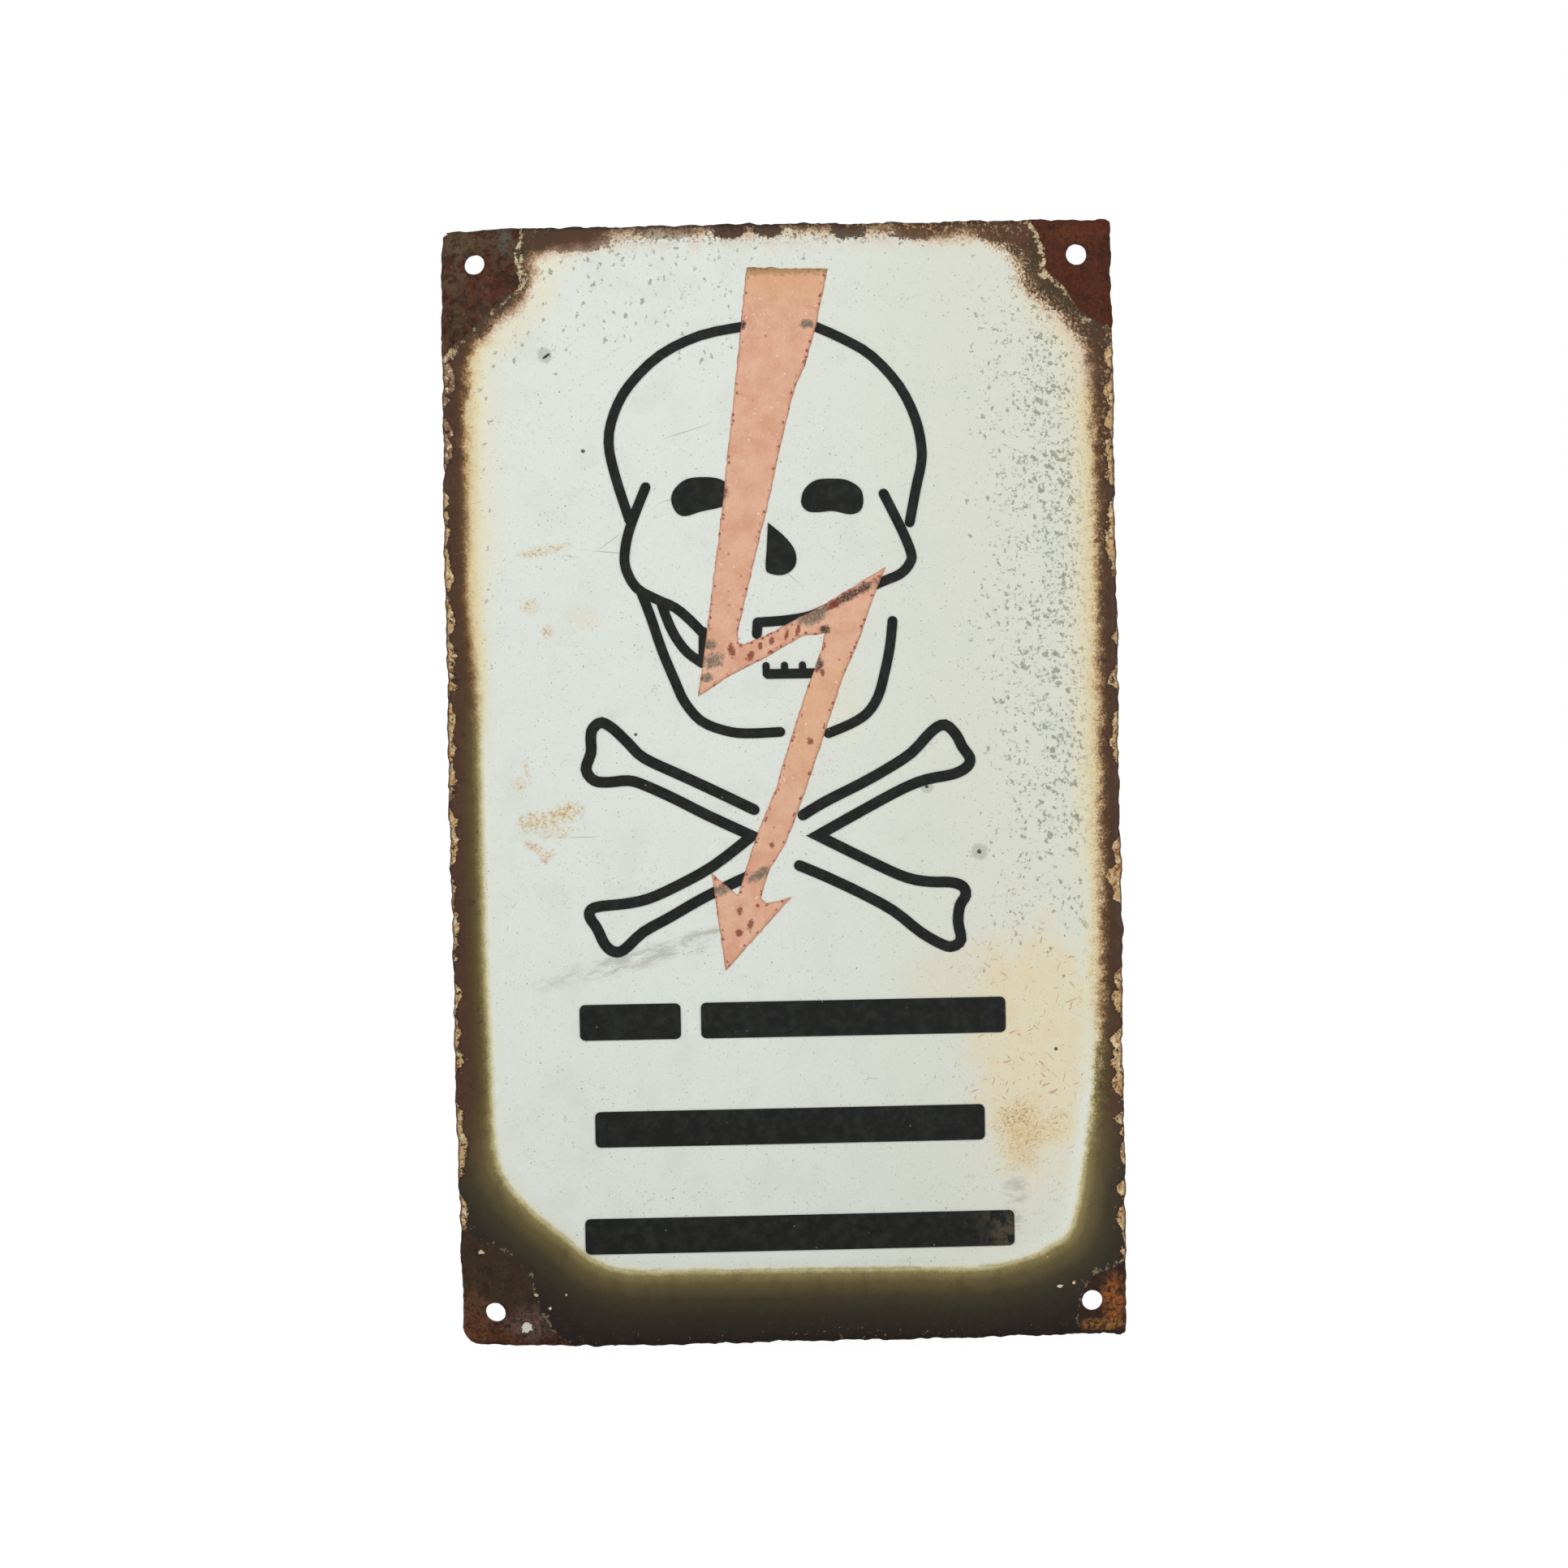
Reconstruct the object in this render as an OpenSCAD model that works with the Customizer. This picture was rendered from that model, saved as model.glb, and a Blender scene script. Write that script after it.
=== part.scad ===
// Enamelled steel warning sign: a crowned sheet with fused enamel coats, worn and rusted at its edges.
// The sign stands upright and faces -Y, with +Z up. The origin is the middle of the four screw
// holes, on the plane of their rear mouths.

/* [Sheet] */
// Width of the steel sheet
sheet_w = 150; // [134:1:260]
// Height of the steel sheet
sheet_h = 250; // [242:1:400]
// Thickness of the steel with the dark ground coat fired on it
sheet_t = 1.2; // [0.8:0.1:2.5]
// Radius of the shallow crown that firing leaves in the sheet
crown_r = 3500; // [1500:50:9000]
// Radius of the corners that are still whole
corner_r = 1; // [0.5:0.25:5]

/* [Screw holes] */
// Diameter of a screw hole
hole_d = 4.6; // [3:0.1:7]
// Distance from a hole's middle to the two nearest edges
hole_inset = 8; // [6:0.25:12]

/* [Wear] */
// Depth of the waves that rust has eaten into the edges
edge_bite = 0.6; // [0:0.05:1]
// Radius of the corner that rust has eaten away, at the lower left
lost_corner_r = 4; // [2:0.25:5]
// How far the ends of the left edge lie inside its middle
left_bow = 0.5; // [0:0.1:1.5]
// Depth of the dip at the left end of the top edge
dip_depth = 0.3; // [0:0.1:1.5]
// Length of that dip
dip_run = 11; // [6:0.5:20]
// Angle by which the two left corners are bent back
bend_angle = 12; // [3:1:20]
// Width of the flat left between a hole and the fold of a bent corner
fold_gap = 0.7; // [0.4:0.1:3]

/* [White enamel] */
// Thickness of the white coat
white_t = 0.3; // [0.15:0.05:0.6]
// Width of the rusted margin at the sides
side_margin = 5; // [3:0.25:7]
// Width of the rusted margin at the top
top_margin = 1.2; // [1:0.1:3]
// Width of the rusted margin at the bottom
bottom_margin = 16.5; // [12:0.5:18]

/* [Figure] */
// Thickness of the black and red coats on the white
colour_t = 0.2; // [0.1:0.05:0.4]
// Width of the skull's lines
skull_line = 2.2; // [1.4:0.1:2.8]
// Width of the bones' lines
bone_line = 2.4; // [1.4:0.1:2.8]
// Width of a lower tooth
tooth_line = 1.6; // [1:0.1:2.2]

/* [Bars] */
// Height of a bar
bar_h = 8; // [4:0.5:12]
// Radius of a bar's corners
bar_corner_r = 1.2; // [0.5:0.1:1.8]
// Gap between the arrow's tip and the top row
tip_gap = 7; // [3:0.5:12]
// Gap between the lowest row and the bottom margin
base_gap = 4.5; // [3:0.5:9]
// Length of the short bar that starts the top row
short_bar = 22.5; // [12:0.5:36]
// Gap between the two bars of the top row
bar_gap = 4.5; // [2:0.5:10]
// Length of the top row
top_row = 95; // [70:0.5:100]
// Length of the middle row
middle_row = 87; // [60:0.5:100]
// Length of the lowest row
low_row = 96; // [60:0.5:100]
// How far the middles of the top, the middle and the lowest row lie right of the sheet's middle
top_row_x = 0.8; // [-4:0.2:4]
middle_row_x = -0.2; // [-4:0.2:4]
low_row_x = 1.6; // [-4:0.2:4]

/* [Hidden] */

half_w = sheet_w / 2;
half_h = sheet_h / 2;
hole_x = half_w - hole_inset;
hole_z = half_h - hole_inset;

// The crown is a sphere. Its middle lies this far behind the rear mouths of the holes.
crown_depth = sqrt(pow(crown_r, 2) - pow(hole_x, 2) - pow(hole_z, 2));
// Radius of the disc from which the crowned sheet is cut, with some spare beyond the sheet's corners
disc_spare = 2;
disc_r = norm([half_w, half_h]) + disc_spare;
// Half the depth of a cutting prism that passes through the whole sheet
through = 30;

// Faces round the crown, round a hole and along the crown's profile
round_faces = 180;
hole_faces = 64;
profile_faces = 1440;
// Steps of a half-circle end, of an outline's corner and between two points of a curve
cap_steps = 6;
corner_steps = 4;
curve_steps = 3;
// Distance between two points of the rusted edge
edge_step = 2;

// Diagonal distance from a bent corner's tip to its fold, the overlap of the two sides of the fold
// and the direction across it
fold_reach = hole_inset * sqrt(2) + hole_d / 2 + fold_gap;
fold_lap = 0.4;
fold_turn = 135;

// Wave lengths and shares of the rusted edge's waves
long_wave = 61;
middle_wave = 17;
short_wave = 6.5;
mean_share = 0.5;
long_share = 0.2;
middle_share = 0.18;
short_share = 0.12;

// Phase by which the waves of one side follow those of the side before
side_phase = 75;

// The order of the sheet's sides, counter-clockwise from the bottom
bottom_side = 0;
right_side = 1;
top_side = 2;
left_side = 3;

// Inward bites of rust at the corners of the white coat, as across and down or up from the
// corner that the margins give. They follow each other clockwise from the lower left.
rust_lower_left = [[48, 0], [33, 0.3], [26, 2.5], [22.5, 5], [18, 9], [12.5, 13.5], [6, 21],
                   [3.5, 28], [2, 42], [0.5, 68]];
rust_upper_left = [[0.2, 89], [0.5, 60], [0.9, 34], [2.2, 26.5], [6, 22], [11, 17.5], [15.2, 12],
                   [16.2, 6.4], [19, 4.2], [24.5, 3.4], [31, 2.6], [36, 0.3], [48, 0]];
rust_upper_right = [[48, 0.2], [40, 1.6], [34, 2.6], [28.5, 1.7], [21.5, 3.2], [17.6, 6],
                    [15.2, 9.2], [14.2, 13], [11, 16.4], [7.4, 19.4], [4.2, 22.4], [1.5, 27.2],
                    [0.5, 36], [-0.3, 60], [-0.3, 95]];
rust_lower_right = [[0, 68], [1, 44], [4, 23], [7, 8.5], [11.5, 4], [19, 0.8], [30, -0.8],
                    [48, -0.4]];

// Centre lines of the skull
cranium_left = [[-7.5, 102], [-17, 100.2], [-26, 96], [-33, 89.4], [-36.5, 83.2], [-37.8, 76.8],
                [-36.5, 69.5], [-33.5, 59.5]];
cranium_right = [[7.5, 102.2], [14.5, 99], [21, 95], [27, 88.2], [30.4, 81], [31.6, 75],
                 [31.5, 71], [30.3, 65.8], [28.7, 58]];
cheek_left = [[-29.8, 66.8], [-33.2, 58.5], [-34.6, 53], [-34.5, 48.8], [-32.2, 44.5], [-28, 42],
              [-23.8, 40], [-20.5, 37.2], [-17.5, 34]];
cheek_right = [[23, 64.5], [27, 56.2], [28.9, 51.2], [28.6, 49], [26.4, 46.6], [22, 44.8],
               [15.6, 41.9], [9.2, 38.8], [5.2, 37.4], [0, 36.7], [-5.5, 36.4]];
jaw_left = [[-31.2, 43.5], [-29.2, 38], [-26.8, 30.5], [-24, 23.5], [-22, 19], [-18.5, 14.8],
            [-13.5, 12.6], [-8.5, 11.8], [-0.9, 12]];
jaw_right = [[24.5, 36.2], [23.8, 30.4], [22.5, 24.5], [21, 19.5], [18.5, 15.8], [14.8, 13.5],
             [9.8, 11.5]];
inner_jaw = [[-26.8, 41], [-25.5, 37.2], [-23.8, 33.5], [-21.2, 30], [-17.8, 27.5]];
jaw_root = [[-17.5, 34.5], [-17.7, 27.8]];
upper_tooth_left = [[-5.5, 36.4], [-5.7, 33.8]];
upper_tooth_right = [[7.6, 37], [7.8, 35.4]];
lower_gum = [[-3.4, 24.9], [8, 24.9]];
lower_teeth = [-3.8, 0.3, 4.3];
tooth_top = 26.8;

// Outlines of the eyes and the nose
eye_left = [[-24.2, 64], [-23.2, 66.5], [-20.5, 68.5], [-16.2, 68.8], [-13, 68.2], [-10, 66],
            [-9.8, 63.5], [-13.5, 62], [-17.5, 61.2], [-21.2, 60.2], [-23.2, 61.2]];
eye_right = [[4.8, 64.2], [5.8, 66.2], [8.2, 67.8], [12, 68], [15, 67.6], [17.8, 65.8],
             [18.5, 63.2], [17.8, 60.8], [15.5, 60], [11.8, 60.8], [8.8, 60.6], [6.2, 60.8],
             [4.8, 62.2]];
nose = [[-2.8, 58.5], [0.4, 55.8], [2.7, 53], [3.4, 50.2], [2.5, 48], [0.2, 46.8], [-2.6, 47.2],
        [-3.5, 48.4], [-3.2, 52.5], [-2.8, 58.5]];

// Centre lines of the crossed bones, each from a free end round the knob to the crossing
bone_upper_left = [[-7, -5.2], [-15, -1.2], [-22.8, 2.6], [-31.2, 6.7], [-34.6, 10], [-37.8, 13.2],
                   [-40.5, 14.8], [-42.5, 13.5], [-43, 11.5], [-43, 8.2], [-44.2, 4.5], [-42.5, 2],
                   [-39.5, 1.5], [-34.8, 1.8], [-31, 0.6], [-24.5, -2.5], [-17.5, -6.2],
                   [-7.6, -11]];
bone_lower_left = [[-6.8, -19.4], [-10.5, -20.8], [-19, -24.8], [-26.2, -28.8], [-32.2, -32],
                   [-36.5, -35.8], [-38.8, -36.2], [-40.8, -34.5], [-42.4, -31], [-44, -28.4],
                   [-43.6, -26.7], [-41.2, -26], [-36.2, -25.6], [-31, -24.6], [-24.6, -21.9],
                   [-16.3, -17.5], [-7.6, -11]];
bone_upper_right = [[3.8, -6.6], [9, -3.6], [16.5, 0], [22.5, 3.2], [28.2, 6.8], [32.9, 11.6],
                    [35.8, 12.9], [38.2, 10.7], [39.6, 7.9], [41.2, 5.5], [40.6, 3.5], [37.5, 1.9],
                    [31.4, 0.8], [26, -1.2], [18, -5.3], [7, -11.2]];
bone_lower_right = [[2.8, -17.8], [8.7, -20.4], [16.4, -24.2], [23.6, -28.3], [29.6, -33.2],
                    [34.5, -36.1], [36.8, -36.5], [38.6, -35], [38, -31], [38.5, -27.4],
                    [39.8, -25.2], [39.2, -23.2], [36.5, -22.2], [31.8, -22], [26.8, -21],
                    [20.2, -18], [7, -11.2]];

// Outline of the lightning arrow, clockwise from its upper left
arrow = [[-6.5, 115], [11.5, 114.6], [8.8, 102.2], [6, 93], [3.5, 87.5], [0.2, 75], [-3, 61.2],
         [-7, 46.2], [-10, 34], [-9.8, 32], [-8.5, 31.6], [-2.2, 34.2], [3.8, 37.4], [9.2, 40],
         [23.2, 48.2], [20.8, 42.5], [17, 32.2], [13, 23.2], [8.8, 11], [3.5, -3.8], [-0.2, -13],
         [-4.2, -19.2], [-5.8, -25], [-4.6, -26.2], [1, -24.8], [-14, -41], [-16.8, -19],
         [-11, -24.2], [-6.8, -11.5], [-2.2, -0.8], [1.5, 10.8], [5.2, 21.5], [8.5, 29.8],
         [9.4, 33.8], [4.2, 33], [-3, 29], [-12, 24.5], [-19, 20.2], [-16, 40.2], [-12.8, 63.2],
         [-9.8, 87], [-8, 102.5]];

// The three rows of bars share out the height between the arrow's tip and the bottom margin
arrow_tip_z = min([for (point = arrow) point[1]]);
top_row_z = arrow_tip_z - tip_gap - bar_h / 2;
low_row_z = -half_h + bottom_margin + base_gap + bar_h / 2;
middle_row_z = (top_row_z + low_row_z) / 2;

// One point of a Catmull-Rom curve between b and c
function between(a, b, c, d, t) =
    (2 * b + (c - a) * t + (2 * a - 5 * b + 4 * c - d) * pow(t, 2)
        + (3 * b - a - 3 * c + d) * pow(t, 3)) / 2;

// A smooth open curve through the points p
function open_curve(p) = let (last = len(p) - 1) [
    for (i = [0 : last - 1], k = [0 : curve_steps - 1])
        between(p[max(i - 1, 0)], p[i], p[i + 1], p[min(i + 2, last)], k / curve_steps),
    p[last]
];

// A smooth closed curve through the points p
function closed_curve(p) = let (n = len(p)) [
    for (i = [0 : n - 1], k = [0 : curve_steps - 1])
        between(p[(i + n - 1) % n], p[i], p[(i + 1) % n], p[(i + 2) % n], k / curve_steps)
];

function unit(v) = v / norm(v);
function left_of(v) = [-v[1], v[0]];
function reversed(p) = [for (i = [len(p) - 1 : -1 : 0]) p[i]];

// Directions of a path into and out of point i
function way_in(p, i) = unit(p[max(i, 1)] - p[max(i, 1) - 1]);
function way_out(p, i) = let (j = min(i, len(p) - 2)) unit(p[j + 1] - p[j]);

// Mitred offset of point i to the left of the path
function mitre(p, i) = let (n = unit(left_of(way_in(p, i)) + left_of(way_out(p, i))))
    n / (n * left_of(way_out(p, i)));

// Points on the half circle that closes a stroke at c, where the path leaves in direction d
function cap(c, d, r) = let (start = atan2(d[1], d[0]) + 90) [
    for (k = [1 : cap_steps - 1]) let (a = start - 180 * k / cap_steps)
        c + r * [cos(a), sin(a)]
];

// Outline of a line of this width drawn along the path p, with round ends
function stroke(p, width) = let (r = width / 2, last = len(p) - 1) concat(
    [for (i = [0 : last]) p[i] + r * mitre(p, i)],
    cap(p[last], way_out(p, last), r),
    [for (i = [last : -1 : 0]) p[i] - r * mitre(p, i)],
    cap(p[0], -way_in(p, 0), r)
);

// A pair of bones meets in a sharp middle, so their curves are joined there without smoothing
function bone_pair(upper, lower) = let (back = reversed(open_curve(lower)))
    concat(open_curve(upper), [for (i = [1 : len(back) - 1]) back[i]]);

// Depth that rust has taken from a side at distance s from its start
function waves(s, phase) = edge_bite * (mean_share
    + long_share * sin(360 * s / long_wave + phase)
    + middle_share * sin(360 * s / middle_wave + 2 * phase)
    + short_share * sin(360 * s / short_wave + 3 * phase));
function bow(s) = left_bow * pow(2 * s / sheet_h - 1, 2);
function dip(s) = dip_depth * pow(max(0, 1 - (sheet_w - s) / dip_run), 2);
function side_loss(side, s) = waves(s, side_phase * side)
    + (side == left_side ? bow(s) : 0)
    + (side == top_side ? dip(s) : 0);

// Radius of the corner at which a side starts
function start_r(side) = side % 4 == bottom_side ? lost_corner_r : corner_r;

// Start, direction and length of a side
function side_start(side) = [
    side == bottom_side || side == left_side ? -half_w : half_w,
    side == bottom_side || side == right_side ? -half_h : half_h
];
function side_way(side) = [cos(90 * side), sin(90 * side)];
function side_length(side) = side % 2 == 0 ? sheet_w : sheet_h;

// Points of a side, from the end of its first corner to the start of the next
function side_points(side) = let (
    from = start_r(side) + edge_step / 2,
    to = side_length(side) - start_r(side + 1) - edge_step / 2,
    steps = round((to - from) / edge_step)
) [
    for (k = [0 : steps]) let (s = from + (to - from) * k / steps)
        side_start(side) + side_way(side) * s + left_of(side_way(side)) * side_loss(side, s)
];

// Points of the rounded corner at which a side starts
function corner_points(side) = let (
    r = start_r(side),
    loss = side_loss(side, r),
    middle = side_start(side) + (r + loss) * (side_way(side) + left_of(side_way(side)))
) [
    for (k = [0 : corner_steps]) let (a = 90 * side + 180 + 90 * k / corner_steps)
        middle + r * [cos(a), sin(a)]
];

function rusted_outline() = [for (side = [0 : 3]) each concat(corner_points(side), side_points(side))];

// Places on the white coat's edge, from its bites at one corner
function bites(list, way_x, way_z, margin_z) = [
    for (b = list) [way_x * (half_w - side_margin - b[0]), way_z * (half_h - margin_z - b[1])]
];

function white_outline() = closed_curve(concat(
    bites(rust_lower_left, -1, -1, bottom_margin),
    bites(rust_upper_left, -1, 1, top_margin),
    bites(rust_upper_right, 1, 1, top_margin),
    bites(rust_lower_right, 1, -1, bottom_margin)
));

// Outline of a bar from left to right, with its middle at this height
function bar_outline(left, right, middle_z) = let (
    x = [right - bar_corner_r, left + bar_corner_r],
    z = [middle_z + bar_h / 2 - bar_corner_r, middle_z - bar_h / 2 + bar_corner_r]
) [
    for (quarter = [0 : 3], k = [0 : corner_steps]) let (a = 90 * (quarter + k / corner_steps))
        [x[quarter == 1 || quarter == 2 ? 1 : 0], z[quarter < 2 ? 0 : 1]]
            + bar_corner_r * [cos(a), sin(a)]
];

// Left and right ends of a row of this length
function row_ends(row_length, row_x) = [row_x - row_length / 2, row_x + row_length / 2];

// Turns a shape drawn flat, with its front up, to stand and face -Y
module standing() {
    rotate([90, 0, 0])
        children();
}

// Disc between two heights above the crowned back of the sheet
module crowned_disc(low, high) {
    rotate_extrude($fn = round_faces)
        intersection() {
            translate([0, -crown_depth])
                difference() {
                    circle(r = crown_r + high, $fn = profile_faces);
                    circle(r = crown_r + low, $fn = profile_faces);
                }
            translate([0, -through])
                square([disc_r, 2 * through]);
        }
}

// Piece of the crowned disc inside a flat outline
module crowned(low, high) {
    intersection() {
        crowned_disc(low, high);
        translate([0, 0, -through])
            linear_extrude(2 * through)
                children();
    }
}

// The place of the fold at the upper (way 1) or lower (way -1) left corner
function fold_point(way) = [-half_w, way * half_h] + fold_reach / sqrt(2) * [1, -way];
function front_height(point) = sqrt(pow(crown_r + sheet_t, 2) - pow(norm(point), 2)) - crown_depth;
function fold_height(way) = front_height(fold_point(way)) + fold_lap;

// Everything beyond the fold of a left corner
module beyond_fold(way) {
    translate(fold_point(way))
        rotate(way * fold_turn)
            translate([0, -sheet_w / 2, -through])
                cube([sheet_w / 2, sheet_w, 2 * through]);
}

// Bends a left corner back round its fold
module bent_back(way) {
    place = concat(fold_point(way), fold_height(way));
    translate(place)
        rotate(a = bend_angle, v = [-way, -1, 0])
            translate(-place)
                children();
}

module screw_holes() {
    for (x = [-hole_x, hole_x], z = [-hole_z, hole_z])
        translate([x, z, -through])
            cylinder(d = hole_d, h = 2 * through, $fn = hole_faces);
}

module flat_sheet() {
    crowned(0, sheet_t)
        polygon(rusted_outline());
}

module steel_sheet() {
    color("#5b4233")
        standing()
            difference() {
                union() {
                    difference() {
                        flat_sheet();
                        beyond_fold(1);
                        beyond_fold(-1);
                    }
                    for (way = [-1, 1])
                        bent_back(way)
                            intersection() {
                                flat_sheet();
                                beyond_fold(way);
                            }
                }
                screw_holes();
            }
}

module white_enamel() {
    color("#dfe3da")
        standing()
            difference() {
                crowned(sheet_t, sheet_t + white_t)
                    polygon(white_outline());
                beyond_fold(1);
                beyond_fold(-1);
                screw_holes();
            }
}

module skull() {
    for (line = [cranium_left, cranium_right, cheek_left, cheek_right, jaw_left, jaw_right, inner_jaw])
        polygon(stroke(open_curve(line), skull_line));
    for (line = [jaw_root, upper_tooth_left, upper_tooth_right, lower_gum])
        polygon(stroke(line, skull_line));
    for (x = lower_teeth)
        polygon(stroke([[x, lower_gum[0][1]], [x, tooth_top]], tooth_line));
    for (outline = [eye_left, eye_right])
        polygon(closed_curve(outline));
    polygon(open_curve(nose));
}

module bones() {
    polygon(stroke(bone_pair(bone_upper_left, bone_lower_left), bone_line));
    polygon(stroke(bone_pair(bone_upper_right, bone_lower_right), bone_line));
}

// A coat of colour on the white one, which ends where the white one ends
module colour_coat() {
    crowned(sheet_t + white_t, sheet_t + white_t + colour_t)
        intersection() {
            union()
                children();
            polygon(white_outline());
        }
}

// The black coat stops where the red arrow passes over it
module black_figure() {
    color("#2c2d2b")
        standing()
            colour_coat()
                difference() {
                    union() {
                        skull();
                        bones();
                    }
                    polygon(arrow);
                }
}

module red_arrow() {
    color("#dba888")
        standing()
            colour_coat()
                polygon(arrow);
}

module bar(ends, middle_z) {
    polygon(bar_outline(ends[0], ends[1], middle_z));
}

module black_bars() {
    top = row_ends(top_row, top_row_x);
    color("#2c2d2b")
        standing()
            colour_coat()
                union() {
                    bar([top[0], top[0] + short_bar], top_row_z);
                    bar([top[0] + short_bar + bar_gap, top[1]], top_row_z);
                    bar(row_ends(middle_row, middle_row_x), middle_row_z);
                    bar(row_ends(low_row, low_row_x), low_row_z);
                }
}

steel_sheet();
white_enamel();
black_figure();
red_arrow();
black_bars();
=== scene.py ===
import math

import bmesh
import bpy
import numpy as np
from mathutils import Matrix, Vector, noise
from mathutils.geometry import delaunay_2d_cdt


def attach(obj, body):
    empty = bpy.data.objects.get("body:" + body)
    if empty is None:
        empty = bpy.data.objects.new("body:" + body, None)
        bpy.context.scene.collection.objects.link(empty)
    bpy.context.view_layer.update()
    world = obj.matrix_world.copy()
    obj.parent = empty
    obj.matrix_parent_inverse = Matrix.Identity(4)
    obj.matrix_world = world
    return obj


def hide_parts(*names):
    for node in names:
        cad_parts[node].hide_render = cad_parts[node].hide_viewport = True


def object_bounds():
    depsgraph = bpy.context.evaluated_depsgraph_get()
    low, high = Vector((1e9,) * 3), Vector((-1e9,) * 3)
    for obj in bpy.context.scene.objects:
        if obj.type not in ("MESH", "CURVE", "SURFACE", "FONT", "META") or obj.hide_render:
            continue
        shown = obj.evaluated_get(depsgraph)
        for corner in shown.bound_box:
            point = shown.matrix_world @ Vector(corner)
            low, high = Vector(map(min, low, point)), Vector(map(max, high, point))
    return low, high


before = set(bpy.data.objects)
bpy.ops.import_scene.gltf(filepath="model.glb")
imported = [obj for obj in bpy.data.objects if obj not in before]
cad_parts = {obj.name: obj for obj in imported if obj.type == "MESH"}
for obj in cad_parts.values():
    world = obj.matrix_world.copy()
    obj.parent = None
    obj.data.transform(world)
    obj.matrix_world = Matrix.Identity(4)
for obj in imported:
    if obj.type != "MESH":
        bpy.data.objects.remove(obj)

cad_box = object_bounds()

MM = 0.001

# Sizes of the sheet in mm, as in the CAD model
SHEET_W, SHEET_H, SHEET_T = 150.0, 250.0, 1.2
CROWN_R = 3500.0
CORNER_R, LOST_CORNER_R = 1.0, 4.0
HOLE_R, HOLE_X, HOLE_Z = 2.3, 67.0, 117.0
WHITE_T, COLOUR_T = 0.3, 0.2
# The white coat's rim lies this far behind the steel's front, and comes out of it smoothly
RIM_SINK = 0.02
SIDE_MARGIN, TOP_MARGIN, BOTTOM_MARGIN = 5.0, 1.2, 16.5
EDGE_BITE, LEFT_BOW, DIP_DEPTH, DIP_RUN = 0.6, 0.5, 0.3, 11.0
BEND = math.radians(12)
FOLD_REACH = 8 * math.sqrt(2) + HOLE_R + 0.7
FOLD_LAP = 0.4
HALF_W, HALF_H = SHEET_W / 2, SHEET_H / 2
CROWN_DEPTH = math.sqrt(CROWN_R ** 2 - HOLE_X ** 2 - HOLE_Z ** 2)
HOLES = [(x, z) for x in (-HOLE_X, HOLE_X) for z in (-HOLE_Z, HOLE_Z)]

# Distance between the points of a mesh where it is worn, in mm
FINEST = 0.9

# Rust at the corners of the white coat: mm across and down or up from the margins' corner
BITES = [
    (-1, -1, BOTTOM_MARGIN, [(48, 0), (33, 0.3), (26, 2.5), (22.5, 5), (18, 9), (12.5, 13.5),
                             (6, 21), (3.5, 28), (2, 42), (0.5, 68)]),
    (-1, 1, TOP_MARGIN, [(0.2, 89), (0.5, 60), (0.9, 34), (2.2, 26.5), (6, 22), (11, 17.5),
                         (15.2, 12), (16.2, 6.4), (19, 4.2), (24.5, 3.4), (31, 2.6), (36, 0.3),
                         (48, 0)]),
    (1, 1, TOP_MARGIN, [(48, 0.2), (40, 1.6), (34, 2.6), (28.5, 1.7), (21.5, 3.2), (17.6, 6),
                        (15.2, 9.2), (14.2, 13), (11, 16.4), (7.4, 19.4), (4.2, 22.4),
                        (1.5, 27.2), (0.5, 36), (-0.3, 60), (-0.3, 95)]),
    (1, -1, BOTTOM_MARGIN, [(0, 68), (1, 44), (4, 23), (7, 8.5), (11.5, 4), (19, 0.8),
                            (30, -0.8), (48, -0.4)]),
]

# Outline of the lightning arrow, clockwise from its upper left, as in the CAD model
ARROW = [
    (-6.5, 115), (11.5, 114.6), (8.8, 102.2), (6, 93), (3.5, 87.5), (0.2, 75), (-3, 61.2),
    (-7, 46.2), (-10, 34), (-9.8, 32), (-8.5, 31.6), (-2.2, 34.2), (3.8, 37.4), (9.2, 40),
    (23.2, 48.2), (20.8, 42.5), (17, 32.2), (13, 23.2), (8.8, 11), (3.5, -3.8), (-0.2, -13),
    (-4.2, -19.2), (-5.8, -25), (-4.6, -26.2), (1, -24.8), (-14, -41), (-16.8, -19),
    (-11, -24.2), (-6.8, -11.5), (-2.2, -0.8), (1.5, 10.8), (5.2, 21.5), (8.5, 29.8),
    (9.4, 33.8), (4.2, 33), (-3, 29), (-12, 24.5), (-19, 20.2), (-16, 40.2), (-12.8, 63.2),
    (-9.8, 87), (-8, 102.5),
][::-1]

# Regions of bare granular rust round the screw holes, as outlines that run past the sheet
RUST = [
    [(-80, 130), (-57.5, 130), (-56.8, 123), (-58, 118), (-56.6, 112.5), (-59.5, 109.2),
     (-63, 106.5), (-67.5, 102.5), (-72, 98.5), (-80, 94)],
    [(80, 130), (56, 130), (58.6, 121.5), (60.2, 117), (60, 113.6), (63.5, 110.4), (66.4, 106),
     (69.5, 103.2), (80, 101)],
    [(-80, -130), (-46, -130), (-54, -121), (-57.5, -114.5), (-59, -109), (-63.5, -103.8),
     (-69.5, -100.5), (-80, -98)],
    [(80, -130), (66, -130), (63.8, -123), (64.2, -117.5), (66.5, -112.5), (70.5, -110),
     (80, -108)],
]

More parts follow.
